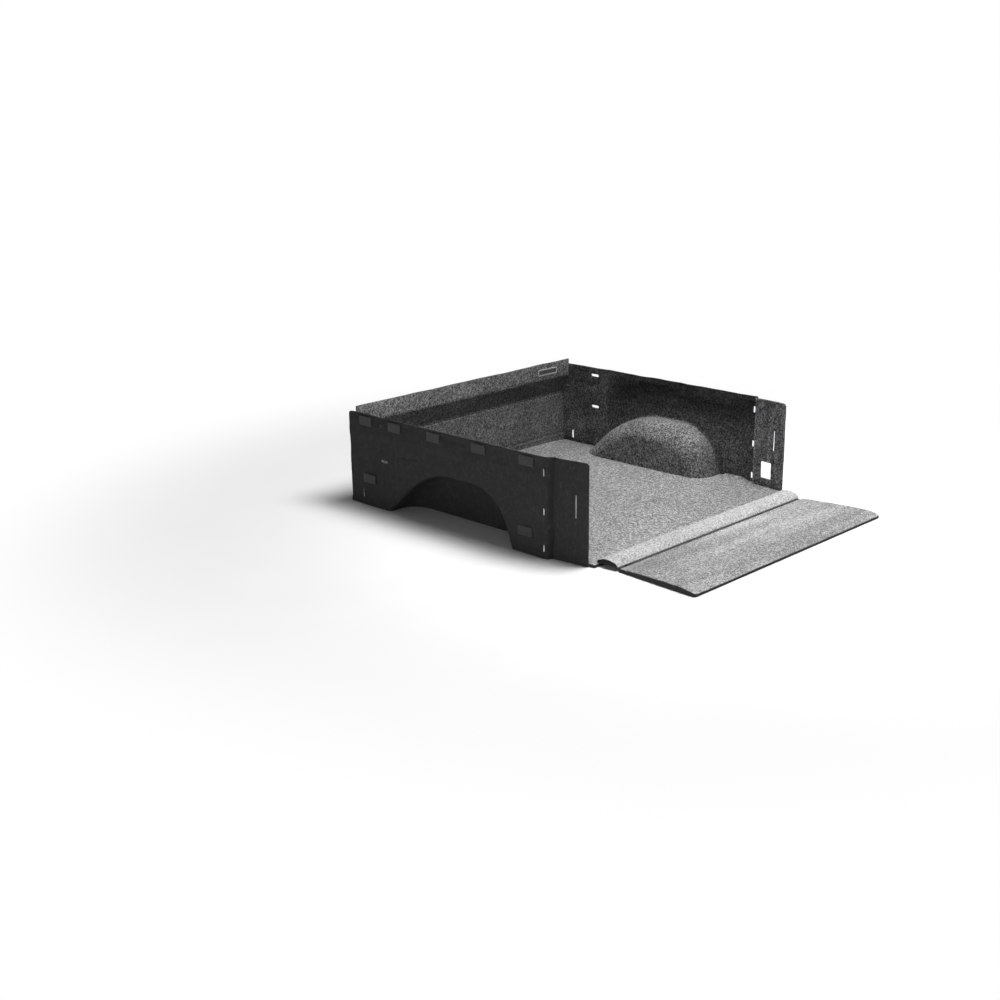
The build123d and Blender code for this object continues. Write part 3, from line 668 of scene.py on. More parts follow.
def side_surface(outlet):
    """The panel's inner skin, passenger side: vertices, faces."""
    curve, inward = well_curve()
    # no step of the cove line is longer than the wall's own spacing, so that wall and hump share every point
    steps = np.linalg.norm(np.diff(curve - inward * COVE, axis=0), axis=1)
    at = np.concatenate([[0.0]] + [i + np.arange(1, n + 1) / n for i, n in enumerate(np.maximum(1, np.ceil(steps / 9.0)).astype(int))])
    curve, inward = [np.stack([np.interp(at, np.arange(len(q)), q[:, k]) for k in (0, 1)], 1) for q in (curve, inward)]
    start = curve - inward * COVE
    # crossings of the cove line with the bed floor
    up = start[:, 1] > 0
    first, last = np.argmax(up), len(up) - 1 - np.argmax(up[::-1])

    def cross(i, j):
        t = start[i, 1] / (start[i, 1] - start[j, 1])
        return start[i] + (start[j] - start[i]) * t

    foot_r, foot_f = cross(first - 1, first), cross(last + 1, last)
    foot_r[1] = foot_f[1] = 0.0
    edge = [tuple(foot_r)] + [tuple(p) for p in start[first : last + 1]] + [tuple(foot_f)]
    outer = [(SIDE_REAR, 0.0)] + edge + [(SIDE_FRONT, 0.0)]
    r = 18.0
    for a in np.linspace(0, math.pi / 2, 6):
        outer.append((SIDE_FRONT - r + r * math.cos(a), SIDE_TOP - r + r * math.sin(a)))
    for a in np.linspace(math.pi / 2, math.pi, 6):
        outer.append((SIDE_REAR + r + r * math.cos(a), SIDE_TOP - r + r * math.sin(a)))
    holes = [slot_loop(*t) for t in TIE_SLOTS]
    holes.append(slot_loop(LAMP_SLIT[0], LAMP_SLIT[1], LAMP_SLIT[3], LAMP_SLIT[2] + 3.0, 90.0, 5))
    if outlet:
        holes.append(round_rect(OUTLET[0], OUTLET[1], OUTLET[2], OUTLET[3], 6.0))
    # the profile's own points must stay as they are, so that the hump meets the wall point for point
    fixed = np.array(edge)
    extra = [(y, z) for y in (238, 241.5, 244.5, 247.5, 250.5, 253.5, 257, 261) for z in np.arange(5, SIDE_TOP, 9.0)]
    extra += [(y, z) for y in (1372, 1376, 1380, 1384, 1388) for z in np.arange(6, SIDE_TOP, 9.0)]
    extra += [(y, z) for z in (322, 326, 330, 334, 338) for y in np.arange(1180, 1372, 9.0)]
    for k in np.linspace(0, 2 * math.pi, 60, endpoint=False):
        for q in (-3.0, 0.0, 3.0):
            extra.append((152 + (34 + q) * np.sign(math.cos(k)) * abs(math.cos(k)) ** 0.6, 300 + (76 + q) * np.sign(math.sin(k)) * abs(math.sin(k)) ** 0.6))
    v2, tri, far = region(np.array(outer), holes, 12.0, extra)
    wall = np.stack([wall_line(v2[:, 0]), v2[:, 0], v2[:, 1]], 1)
    # the hump: cove, level top, rounded inner edge, then the inner face down to the floor
    steps = [(COVE * (1 - math.sin(p)), WALL_X - COVE * (1 - math.cos(p))) for p in np.linspace(0, math.pi / 2, 5)]
    rows = [(-d, x) for d, x in steps]
    flat_end = WELL_X + WELL_EDGE_R
    rows += [(0.0, x) for x in np.linspace(WALL_X - COVE, flat_end, 9)[1:]]
    rows += [(WELL_EDGE_R * (1 - math.cos(p)), flat_end - WELL_EDGE_R * math.sin(p)) for p in np.linspace(0, math.pi / 2, 17)[1:]]
    grid = []
    for d, x in rows:
        q = curve + inward * d
        grid.append(np.stack([np.full(len(q), x), q[:, 0], q[:, 1]], 1))
    last_row = grid[-1]
    for k in range(1, 16):
        q = last_row.copy()
        q[:, 2] = last_row[:, 2] + (-175.0 - last_row[:, 2]) * k / 15
        grid.append(q)
    hump = np.vstack(grid)
    hf = grid_faces(len(grid), len(curve))
    verts = np.vstack([wall, hump])
    faces = [tuple(t) for t in tri] + [tuple(i + len(wall) for i in f) for f in hf]
    bm = bmesh.new()
    bv = [bm.verts.new(p) for p in verts]
    for f in faces:
        bm.faces.new([bv[int(i)] for i in f])
    geometry = bm.verts[:] + bm.edges[:] + bm.faces[:]
    bmesh.ops.bisect_plane(bm, geom=geometry, dist=1e-5, plane_co=(0, 0, 0), plane_no=(0, 0, 1), clear_inner=True)
    bmesh.ops.remove_doubles(bm, verts=bm.verts[:], dist=0.05)
    bmesh.ops.dissolve_degenerate(bm, dist=0.01, edges=bm.edges[:])
    bmesh.ops.triangulate(bm, faces=[f for f in bm.faces if len(f.verts) > 4])
    bmesh.ops.recalc_face_normals(bm, faces=bm.faces[:])
    bm.verts.index_update()
    bm.verts.ensure_lookup_table()
    v = np.array([tuple(p.co) for p in bm.verts])
    f = [tuple(p.index for p in q.verts) for q in bm.faces]
    # the inner skin faces the middle of the bed
    top = max(bm.faces, key=lambda q: q.calc_center_median().z if 650 < q.calc_center_median().x < 800 else -1)
    flip = top.normal.z < 0
    bm.free()
    if flip:
        f = [q[::-1] for q in f]
    return v, f


def side_relief(v, seed):
    """Soft relief of carpet drawn over a stamped wall: how far each point moves towards the middle of the bed."""
    x, y, z = v.T
    on_wall = np.clip((x - 800.0) / 97.0, 0, 1)
    high = ramp(5.0, 40.0, z)
    front_block = ramp(1373, 1387, y) * (1 - 0.55 * ramp(395, 420, z + 18 * ramp(1400, 1690, y)))
    rel = 6.5 * front_block
    rel = rel + 2.6 * bump1(z, 330 + 0.06 * (1364 - y), 5.0) * ramp(1170, 1215, y) * (1 - ramp(1355, 1372, y))
    rel = rel + 3.0 * ramp(430, 455, z) * (1 - ramp(500, 520, z)) * ramp(280, 330, y) * (1 - ramp(1340, 1372, y))
    rel = rel + 1.6 * waves(y, z, 210.0, seed) + 0.9 * waves(y, z, 75.0, seed + 1)
    # post: pressed oval and a raised frame round the opening
    ring_y, ring_z = (y - 152) / 34.0, (z - 300) / 76.0
    oval = (np.abs(ring_y) ** 3.4 + np.abs(ring_z) ** 3.4) ** (1 / 3.4)
    rel = rel - 4.2 * bump1(oval, 1.0, 0.085) + 1.8 * (1 - ramp(0.8, 0.95, oval))
    # the ridge where the wall turns in to the post, and a press line beside the slit
    rel = rel + 3.5 * bump1(y, 240.0, 7.0) * ramp(10.0, 60.0, z) - 2.2 * bump1(y, 80.0 + 4.0 * np.sin(z / 60.0), 4.5) * ramp(20.0, 60.0, z)
    # the recess under the rail, and the frame pressed round the middle of the wall
    recess = ramp(404, 412, z) * (1 - ramp(478, 488, z)) * ramp(820, 834, y) * (1 - ramp(1120, 1134, y))
    rel = rel - 3.2 * recess
    rel = rel + 1.8 * bump1(z, 398.0, 5.0) * ramp(330, 380, y) * (1 - ramp(1150, 1200, y))
    inner = 1.5 * waves(y, x + z, 260.0, seed + 2) + 0.7 * waves(y, x + z, 90.0, seed + 3)
    return rel * on_wall * (0.35 + 0.65 * high), inner * (1 - on_wall) * ramp(28.0, 90.0, z)


def side_panel(side, sign, outlet, seed):
    v, f = side_surface(outlet)
    n = normals_of(v, f)
    wall_rel, hump_rel = side_relief(v, seed)
    rear_dist = v[:, 1] - SIDE_REAR
    v = v.copy()
    v[:, 0] -= wall_rel
    v += n * hump_rel[:, None]
    # the free top edge wanders a little and leans into the bed
    lean = ramp(SIDE_TOP - 70, SIDE_TOP, v[:, 2])
    v[:, 0] -= 2.5 * lean * (0.6 + 0.4 * waves(v[:, 1], v[:, 1] * 0, 330.0, seed + 5))
    v[:, 2] += lean * 1.3 * waves(v[:, 1], v[:, 1] * 0, 190.0, seed + 6)
    n = normals_of(v, f)
    rim = sorted({i for e in rim_of(f) for i in e})
    free = [i for i in rim if v[i, 2] > 0.5]
    top = v.copy()
    top[free] -= n[free] * 1.3
    mid = v - n * PILE
    back = v - n * (PILE + WALL_FOAM)
    start = v - n * (PILE + 0.03)
    for a in (mid, back, start, top):
        a[:, 2] = np.maximum(a[:, 2], 0.0)
        low = v[:, 2] < 1e-3
        a[low, 2] = 0.0
    out = []
    for name, a, b, mats, slot, node in (
        ("carpet", top, mid, [side_carpet, backing, backing], "side_carpet", "pile"),
        ("foam_layer", start, back, [foam], "cell_foam", "foam"),
    ):
        vv, ff, kind = closed(a, b, f)
        if sign < 0:
            vv = vv * np.array([-1.0, 1.0, 1.0])
            ff = [q[::-1] for q in ff]
        obj = make(f"{side}_side_{name}", vv, ff, mats, kind if len(mats) == 3 else None, 38.0)
        out.append(place(obj, "liner_shell", slot, f"{side}_side_{node}"))
    return out


side_panel("right", 1, True, 11)
side_panel("left", -1, False, 47)


# ====================================================================== floor mat
def flat_loop(node, z):
    """The outline of a CAD node's level face at height z."""
    mesh = nodes[node].data
    edges = {}
    for p in mesh.polygons:
        vs = [mesh.vertices[i].co for i in p.vertices]
        if all(abs(q.z / MM - z) < 0.02 for q in vs):
            ks = [(round(q.x / MM, 2), round(q.y / MM, 2)) for q in vs]
            for a, b in zip(ks, ks[1:] + ks[:1]):
                if (b, a) in edges:
                    del edges[(b, a)]
                else:
                    edges[(a, b)] = True
    nxt = {a: b for a, b in edges}
    best = []
    while nxt:
        a, b = next(iter(nxt.items()))
        loop = [a]
        while b != loop[0] and b in nxt:
            loop.append(b)
            b = nxt[b]
        for k in loop:
            nxt.pop(k, None)
        if len(loop) > len(best):
            best = loop
    return np.array(best)


floor_outline = flat_loop("floor_pile", FLOOR_TOP)
rear_rows = np.array([(x, y) for y in (8.0, 11.5, 16.0, 22.0) for x in np.arange(-822.0, 823.0, 12.0)])
fv, ft, f_far = region(floor_outline, [], 15.0, rear_rows, rings=(2.0, 7.0))


def floor_lift(x, y):
    """How far the mat's edge curls up against the walls."""
    reach = np.abs(x)
    curl = 15.0 * ramp(838.0, 892.0, reach) * ramp(285.0, 330.0, y) * (1 - ramp(440.0, 486.0, y))
    curl = curl + 9.0 * ramp(1690.0, 1740.0, y) * ramp(0.0, 200.0, 893.0 - reach)
    return curl


lift = floor_lift(fv[:, 0], fv[:, 1])
swell = 0.9 * waves(fv[:, 0], fv[:, 1], 420.0, 5) + 0.5 * waves(fv[:, 0], fv[:, 1], 150.0, 6)
swell = swell * ramp(0.0, 60.0, f_far) * ramp(60.0, 130.0, fv[:, 1])
crease = 2.0 * bump1(fv[:, 1] - 618.0 - 6.0 * np.sin(fv[:, 0] / 90.0), 0.0, 11.0) * ramp(60, 190, fv[:, 0]) * (1 - ramp(400, 520, fv[:, 0]))
top_z = FLOOR_TOP - 0.25 + lift + np.minimum(swell, 0.9) * 0.9 + crease - 1.6 * (1 - ramp(0.0, 2.2, f_far))
# the guard rides over this strip as the mat folds
top_z = np.minimum(top_z, FLOOR_TOP - 1.5 + 3.0 * ramp(150.0, 260.0, fv[:, 1]) + 40.0 * ramp(200.0, 300.0, fv[:, 1]))
top_z = np.minimum(top_z, FLOOR_TOP - 4.2 + 2.7 * ramp(7.0, 15.0, fv[:, 1]) + 60.0 * ramp(15.0, 60.0, fv[:, 1]))
split_z = FLOOR_SPLIT - 0.3 + lift * 0.96
low_z = lift * 0.92
vv, ff, kind = closed(np.c_[fv, top_z], np.c_[fv, split_z], ft)
place(make("floor_carpet_face", vv, ff, [floor_carpet, backing, backing], kind), "liner_shell", "floor_carpet", "floor_pile")
vv, ff, kind = closed(np.c_[fv, split_z - 0.03], np.c_[fv, low_z], ft)
place(make("floor_foam_pad", vv, ff, [foam]), "liner_shell", "cell_foam", "floor_foam")


# ====================================================================== front panel
def filleted(points, r, n=7):
    p = np.array(points, float)
    out = [p[0]]
    for a, b, c in zip(p, p[1:], p[2:]):
        u, w = (a - b) / np.linalg.norm(a - b), (c - b) / np.linalg.norm(c - b)
        half = math.acos(np.clip(u @ w, -1, 1)) / 2
        t = r / math.tan(half)
        s, e = b + u * t, b + w * t
        centre = b + (u + w) / np.linalg.norm(u + w) * (r / math.sin(half))
        a0, a1 = s - centre, e - centre
        ang = math.acos(np.clip((a0 @ a1) / r**2, -1, 1))
        for k in np.linspace(0, 1, n):
            out.append(centre + (a0 * math.sin((1 - k) * ang) + a1 * math.sin(k * ang)) / math.sin(ang))
    out.append(p[-1])
    return np.array(out)


section = filleted([(1742.0, 0.0), (1755.0, 347.0), (BAND_Y, 459.0), (BAND_Y, FRONT_TOP)], 15.0)
section = even(section, 110)
cols = 150
xs = np.linspace(-FRONT_HALF, FRONT_HALF, cols)
fr = np.zeros((cols, len(section), 3))
for i, x in enumerate(xs):
    fr[i, :, 0] = x
    fr[i, :, 1] = section[:, 0]
    fr[i, :, 2] = section[:, 1]
X, Z = fr[:, :, 0], fr[:, :, 2]
end = ramp(0.0, 60.0, FRONT_HALF - np.abs(X))
puff = 1.7 * waves(X, Z, 300.0, 21) + 0.8 * waves(X, Z, 95.0, 22)
sag = 3.0 * waves(X, X * 0, 520.0, 23) * bump1(Z, 455.0, 30.0)
fr[:, :, 1] -= puff * (0.3 + 0.7 * end) * ramp(0.0, 40.0, Z) - 1.2
low_fold = 8.0 * waves(X, X * 0, 420.0, 26)
creases = 2.2 * bump1(Z, 340.0, 5.0) + 1.4 * bump1(Z, 462.0, 4.5) + 2.0 * bump1(Z, 74.0 + low_fold, 5.0) + 1.5 * bump1(Z, 47.0 + low_fold, 4.5)
fr[:, :, 1] += creases * end
fr[:, :, 2] += sag * end * 0.7 + 1.4 * waves(X, X * 0, 240.0, 24) * ramp(FRONT_TOP - 45, FRONT_TOP, Z)
fr = fr.reshape(-1, 3)
fr_faces = grid_faces(cols, len(section))
n = normals_of(fr, fr_faces)
if n[:, 1].mean() > 0:
    fr_faces = [q[::-1] for q in fr_faces]
    n = -n
rim = sorted({i for e in rim_of(fr_faces) for i in e if fr[i, 2] > 1.0})
face = fr.copy()
face[rim] -= n[rim] * 1.3
layers = [face, fr - n * PILE, fr - n * (PILE + 0.03), fr - n * (PILE + WALL_FOAM)]
for a in layers:
    a[:, 2] = np.maximum(a[:, 2], 0.0)
vv, ff, kind = closed(layers[0], layers[1], fr_faces)
place(make("front_carpet_face", vv, ff, [front_carpet_painted_shade, backing, backing], kind), "liner_shell", "side_carpet", "front_pile")
vv, ff, kind = closed(layers[2], layers[3], fr_faces)
place(make("front_foam_pad", vv, ff, [foam]), "liner_shell", "cell_foam", "front_foam")


# ====================================================================== stitches, patch
def stitches(name, path, body, slot, material, length=4.2, gap=2.4, radius=0.5, lift=None, replaced=()):
    """Separate thread stitches laid along a path of points (mm). lift is each stitch's own up direction."""
    path = np.asarray(path, float)
    d = np.r_[0, np.cumsum(np.linalg.norm(np.diff(path, axis=0), axis=1))]
    starts = np.arange(gap, d[-1] - length, length + gap)
    verts, faces = [], []
    for s in starts:
        a = np.array([np.interp(s, d, path[:, k]) for k in range(3)])
        b = np.array([np.interp(s + length, d, path[:, k]) for k in range(3)])
        t = (b - a) / np.linalg.norm(b - a)
        up = np.array(lift if lift is not None else (0, 0, 1.0))
        side = np.cross(t, up)
        side /= np.linalg.norm(side)
        up = np.cross(side, t)
        base = len(verts)
        for q, r, h in ((0.0, 0.15, -0.75), (0.1, 0.75, -0.2), (0.3, 1.0, 0.25), (0.7, 1.0, 0.25), (0.9, 0.75, -0.2), (1.0, 0.15, -0.75)):
            c = a + (b - a) * q + up * radius * h
            for k in range(5):
                w = 2 * math.pi * k / 5
                verts.append(c + radius * r * (math.cos(w) * side + math.sin(w) * up))
        faces += grid_faces(6, 5, base, wrap=True)
        faces.append(tuple(base + k for k in range(5)))
        faces.append(tuple(base + 25 + k for k in range(5))[::-1])
    return place(make(name, verts, faces, [material], None, 60.0), body, slot, *replaced)


patch_lo, patch_hi = cad_box("front_patch")
pc = (patch_lo + patch_hi) / 2
pw, ph = patch_hi[0] - patch_lo[0], patch_hi[2] - patch_lo[2]
outline = round_rect(pc[0], pc[2], pw, ph, 7.0)
pv, pt, p_far = region(outline, [], 4.0, rings=(0.8, 2.4))
band_here = -(1.7 * waves(pv[:, 0], pv[:, 1], 300.0, 21) + 0.8 * waves(pv[:, 0], pv[:, 1], 95.0, 22)) + 1.2
seat = BAND_Y + band_here
crown = 1.7 - 1.0 * (1 - ramp(0.0, 2.6, p_far)) + 0.35 * bump1(p_far, 3.2, 1.3)
vv, ff, kind = closed(np.c_[pv[:, 0], seat - crown, pv[:, 1]], np.c_[pv[:, 0], seat - 0.05, pv[:, 1]], pt)
place(make("front_patch_face", vv, ff, [patch_web]), "liner_shell", "patch", "front_patch")


def band_y(x, z):
    return BAND_Y - (1.7 * waves(x, z, 300.0, 21) + 0.8 * waves(x, z, 95.0, 22)) + 1.2


ring = dense(round_rect(pc[0], pc[2], pw - 2.6, ph - 2.6, 6.0, 8), 2.0)
ring = np.vstack([ring, ring[:1]])
stitches("front_patch_border", np.c_[ring[:, 0], band_y(ring[:, 0], ring[:, 1]) - 1.75, ring[:, 1]], "liner_shell", "patch", light_thread, 3.0, 0.2, 1.9, (0, -1, 0))
ring = dense(round_rect(pc[0], pc[2], pw - 13.0, ph - 13.0, 4.0, 6), 2.0)
ring = np.vstack([ring, ring[:1]])
stitches("front_patch_stitching", np.c_[ring[:, 0], band_y(ring[:, 0], ring[:, 1]) - 1.75, ring[:, 1]], "liner_shell", "patch", light_thread, 3.4, 1.9, 0.42, (0, -1, 0))


# ====================================================================== gap guard
def arch(inset=0.0, count=29):
    base = base_hi[2]
    pts = [(GUARD_REAR + 2.0 + inset, base + 0.02)]
    for y, z in GUARD_CREST:
        side, down = (0.85, 0.55) if y < -90 else (0.42, 0.85) if y < -60 else (0.0, 0.9) if y < -20 else (-0.42, 0.85)
        pts.append((y + side * inset, z - down * inset))
    pts += [(GUARD_FRONT - 1.35 * inset, base + 0.02)]
    return even(catmull(pts), count)


def billow(obj, pins, pressure, cap, frames=20, shrink=0.0, bend=0.4):
    """Cloth under pressure for a few frames, each point held within cap mm of where it began; the result is kept."""
    mesh = obj.data
    rest = np.array([tuple(v.co) for v in mesh.vertices])
    group = obj.vertex_groups.new(name="pin")
    group.add([int(i) for i in pins], 1.0, "REPLACE")
    mod = obj.modifiers.new("cloth", "CLOTH")
    c = mod.settings
    c.quality, c.mass = 6, 0.3
    c.tension_stiffness = c.compression_stiffness = 12.0
    c.shear_stiffness, c.bending_stiffness = 4.0, bend
    c.vertex_group_mass = "pin"
    c.use_pressure, c.uniform_pressure_force = True, pressure
    c.shrink_min = shrink
    c.effector_weights.gravity = 0.0
    mod.collision_settings.use_collision = False
    mod.point_cache.frame_start, mod.point_cache.frame_end = 1, frames
    for k in range(1, frames + 1):
        scene.frame_set(k)
    ev = obj.evaluated_get(bpy.context.evaluated_depsgraph_get())
    got = np.array([tuple(v.co) for v in ev.data.vertices])
    scene.frame_set(1)
    obj.modifiers.remove(mod)
    obj.vertex_groups.clear()
    d = (got - rest) / MM
    size = np.linalg.norm(d, axis=1)
    d *= (np.minimum(size, cap) / np.maximum(size, 1e-9))[:, None]
    # the core holds the cover up: what sinks into it stays on it
    n = np.array([tuple(v.normal) for v in mesh.vertices])
    into = np.einsum("ij,ij->i", d, n)
    d -= n * np.minimum(into + 0.2, 0.0)[:, None]
    return rest / MM + d


cols_g = 231
sec = arch(0.0, 27)
gx = np.linspace(-GUARD_HALF + 3.0, GUARD_HALF - 3.0, cols_g)
g = np.zeros((cols_g, len(sec), 3))
g[:, :, 0] = gx[:, None]
g[:, :, 1] = sec[None, :, 0]
g[:, :, 2] = sec[None, :, 1]
# slightly smaller than the finished cover, so that it can swell
mid_y, mid_z = -50.0, base_hi[2]
along = ramp(0, 1, np.sin(np.linspace(0, math.pi, len(sec))) * 1.5)
g[:, :, 2] -= 1.2 * along[None, :]
rng = np.random.default_rng(3)
g[:, 1:-1, :] += rng.normal(0, 0.12, g[:, 1:-1, :].shape)
gf = grid_faces(cols_g, len(sec))
sheet = make("guard_sheet", g.reshape(-1, 3), gf, [guard_carpet], None, 180.0, recalc=False)
n0 = normals_of(g.reshape(-1, 3), gf)
if n0[:, 2].mean() < 0:
    sheet.data.flip_normals()
pins = [i * len(sec) + j for i in range(cols_g) for j in (0, 1, len(sec) - 2, len(sec) - 1)]
swollen = billow(sheet, pins, 2.2, 3.0, 18, shrink=-0.03)
bpy.data.objects.remove(sheet)
sw = swollen.reshape(cols_g, len(sec), 3)
# long soft undulation of a hand-laid tube, and ends that close down over the core
x_rel = sw[:, :, 0]
sw[:, :, 2] += along[None, :] * (0.9 * waves(x_rel, x_rel * 0, 360.0, 31) + 0.5 * waves(x_rel, sw[:, :, 1], 120.0, 32))
sw[:, :, 1] += along[None, :] * 1.3 * waves(x_rel, x_rel * 0, 500.0, 33)
end_drop = 1 - ramp(0.0, 16.0, GUARD_HALF - np.abs(x_rel))
sw[:, :, 2] -= end_drop * along[None, :] * 1.2
sw[:, :, 2] = np.maximum(sw[:, :, 2], base_hi[2] + 0.02)
sw[:, 0, :] = g[:, 0, :]
sw[:, -1, :] = g[:, -1, :]
fine = np.zeros((2 * cols_g - 1, sw.shape[1], 3))
fine[::2] = sw
fine[1::2] = (sw[1:] + sw[:-1]) / 2
sw = fine
gf = grid_faces(sw.shape[0], sw.shape[1])
flat = sw.reshape(-1, 3)
n = normals_of(flat, gf)
if n[:, 2].mean() < 0:
    gf, n = [q[::-1] for q in gf], -n
inner = flat - n * 2.7
inner[:, 2] = np.maximum(inner[:, 2], base_hi[2] + 0.01)
top = flat.copy()
top[:, 2] = np.maximum(top[:, 2], base_hi[2] + 0.03)
vv, ff, kind = closed(top, inner, gf)
place(make("guard_cover_cloth", vv, ff, [guard_carpet, backing, backing], kind), "gap_guard", "guard_carpet", "guard_cover")

# foam core: a half round bar with a porous cut face at each end
core = arch(4.4, 27)
cx = np.linspace(-GUARD_HALF, GUARD_HALF, 120)
cv = np.zeros((len(cx), len(core), 3))
cv[:, :, 0] = cx[:, None]
cv[:, :, 1] = core[None, :, 0]
cv[:, :, 2] = core[None, :, 1]
cv[:, :, 2] = np.minimum(cv[:, :, 2], 100) - (1 - ramp(0.0, 14.0, GUARD_HALF - np.abs(cv[:, :, 0]))) * 1.5 * np.sin(np.linspace(0, math.pi, len(core)))[None, :]
cv[:, :, 2] = np.maximum(cv[:, :, 2], base_hi[2] + 0.01)
flatc = cv.reshape(-1, 3)
cf = grid_faces(len(cx), len(core))
# floor of the bar
n_c = len(core)
for i in range(len(cx) - 1):
    cf.append((i * n_c, (i + 1) * n_c, (i + 1) * n_c + n_c - 1, i * n_c + n_c - 1))
# cut ends: a fan of cells with slightly torn relief
verts = [tuple(p) for p in flatc]
for i, sgn in ((0, -1), (len(cx) - 1, 1)):
    ring_ids = [i * n_c + k for k in range(n_c)]
    centre = flatc[ring_ids].mean(0)
    loops_ids = [ring_ids]
    for k, s in enumerate((0.75, 0.5, 0.25)):
        ids = []
        for j, r_id in enumerate(ring_ids):
            p = centre + (flatc[r_id] - centre) * s
            p[0] += sgn * (0.5 * math.sin(j * 2.1 + k * 1.7) - 0.3)
            ids.append(len(verts))
            verts.append(tuple(p))
        loops_ids.append(ids)
    mid_id = len(verts)
    verts.append(tuple(centre))
    for a, b in zip(loops_ids, loops_ids[1:]):
        for j in range(n_c):
            k2 = (j + 1) % n_c
            cf.append((a[j], a[k2], b[k2], b[j]))
    for j in range(n_c):
        cf.append((loops_ids[-1][j], loops_ids[-1][(j + 1) % n_c], mid_id))
place(make("guard_core_bar", verts, cf, [core_foam]), "gap_guard", "cell_foam", "guard_core")


def ribbon(name, rail, thick, x0, x1, body, slot, material, *replaced, wave=0.0, seed=1, gap=14.0, rideable=True):
    """A flat tape whose cross-section follows rail, points (y, z), along X. It is a closed solid of even thickness."""
    rail = np.asarray(rail, float)
    t = np.gradient(rail, axis=0)
    t /= np.linalg.norm(t, axis=1)[:, None]
    nn = np.stack([-t[:, 1], t[:, 0]], 1)
    a, b = rail + nn * thick / 2, rail - nn * thick / 2
    loop = np.vstack([a, b[::-1]])
    count = max(2, int((x1 - x0) / gap))
    xx = np.linspace(x0, x1, count)
    v = np.zeros((count, len(loop), 3))
    v[:, :, 0] = xx[:, None]
    v[:, :, 1] = loop[None, :, 0]
    v[:, :, 2] = loop[None, :, 1]
    if wave:
        v[:, :, 2] += wave * waves(v[:, :, 0], v[:, :, 1], 60.0, seed)
    faces = grid_faces(count, len(loop), wrap=True)
    m = len(loop)
    half = m // 2
    for i, flip in ((0, False), (count - 1, True)):
        for k in range(half - 1):
            q = (i * m + k, i * m + k + 1, i * m + m - 2 - k, i * m + m - 1 - k)
            faces.append(q[::-1] if flip else q)
    obj = make(name, v.reshape(-1, 3), faces, [material], None, 45.0)
    if rideable:
        place(obj, body, slot, *replaced)
    return obj


# base strip under the core
b_rail = [(y, (base_lo[2] + base_hi[2]) / 2) for y in np.linspace(GUARD_REAR + 2.2, GUARD_FRONT - 2.2, 16)]
ribbon("guard_base_strip", b_rail, 1.5, -GUARD_HALF, GUARD_HALF, "gap_guard", "backing_web", base_web, "guard_base")


def turn_rail(edge_y, sign):
    """The cover's hem, turned round one long edge of the guard to the underside."""
    out = [(edge_y + sign * 3.2, base_hi[2] + 1.5), (edge_y + sign * 1.9, base_hi[2] + 0.3), (edge_y + sign * 1.5, base_lo[2] + 0.7)]
    out += [(edge_y + sign * 2.1, base_lo[2] + 0.15), (edge_y + sign * 5.0, base_lo[2] + 0.0)]
    return even(catmull(out, 6), 20)


ribbon("guard_edge_turn_rear", turn_rail(GUARD_REAR, 1), 0.9, -GUARD_HALF + 3.5, GUARD_HALF - 3.5, "gap_guard", "guard_carpet", guard_carpet, gap=8.0, wave=0.05)
ribbon("guard_edge_turn_front", turn_rail(GUARD_FRONT, -1), 0.9, -GUARD_HALF + 3.5, GUARD_HALF - 3.5, "gap_guard", "guard_carpet", guard_carpet, gap=8.0, wave=0.05, seed=2)
sx = np.linspace(-GUARD_HALF + 6, GUARD_HALF - 6, 400)
for tag, y, z in (("rear", GUARD_REAR + 16.0, base_lo[2] - 1.12), ("front", GUARD_FRONT - 4.2, base_lo[2] - 0.5)):
    stitches(f"guard_stitches_{tag}", np.c_[sx, np.full_like(sx, y), np.full_like(sx, z)], "gap_guard", "backing_web", light_thread, 4.4, 2.2, 0.35, (0, 0, -1))


# ====================================================================== tailgate mat
mat_curve = catmull([(MAT_FRONT, FLOOR_TOP)] + MAT_TOP + [(MAT_REAR, cad_box("tailgate_pile")[0][2] + 5.0)], 12)
mat_outline = [(MAT_HALF, MAT_FRONT), (-MAT_HALF, MAT_FRONT)]
mat_outline += [(-MAT_HALF_REAR + 14 - 14 * math.cos(a), MAT_REAR + 14 - 14 * math.sin(a)) for a in np.linspace(0, math.pi / 2, 7)]
mat_outline += [(MAT_HALF_REAR - 14 + 14 * math.sin(a), MAT_REAR + 14 - 14 * math.cos(a)) for a in np.linspace(0, math.pi / 2, 7)]
tv, tt, t_far = region(np.array(mat_outline), [], 13.0, rings=(2.0, 6.5))
order = np.argsort(mat_curve[:, 0])
t_top = np.interp(tv[:, 1], mat_curve[order, 0], mat_curve[order, 1])
keep_off = ramp(0.0, 40.0, MAT_FRONT - tv[:, 1])
t_swell = (0.9 * waves(tv[:, 0], tv[:, 1], 380.0, 61) + 0.5 * waves(tv[:, 0] * 0.35, tv[:, 1], 70.0, 62)) * keep_off
corner = 1.6 * ramp(700.0, 800.0, np.abs(tv[:, 0])) * ramp(440.0, 600.0, -tv[:, 1])
t_up = t_top - 0.2 + t_swell + corner - 1.9 * (1 - ramp(0.0, 2.4, t_far))
t_mid = t_top - 5.0 + 0.6 * t_swell + corner
t_mid = np.where(tv[:, 1] > MAT_FRONT - 22.0, np.maximum(t_mid, tape_hi[2] + 0.15), t_mid)
t_mid = np.minimum(t_mid, t_up - 2.2)
vv, ff, kind = closed(np.c_[tv, t_up], np.c_[tv, t_mid], tt)
place(make("tailgate_carpet_face", vv, ff, [mat_carpet, backing, backing], kind), "tailgate_mat", "tailgate_carpet", "tailgate_pile")

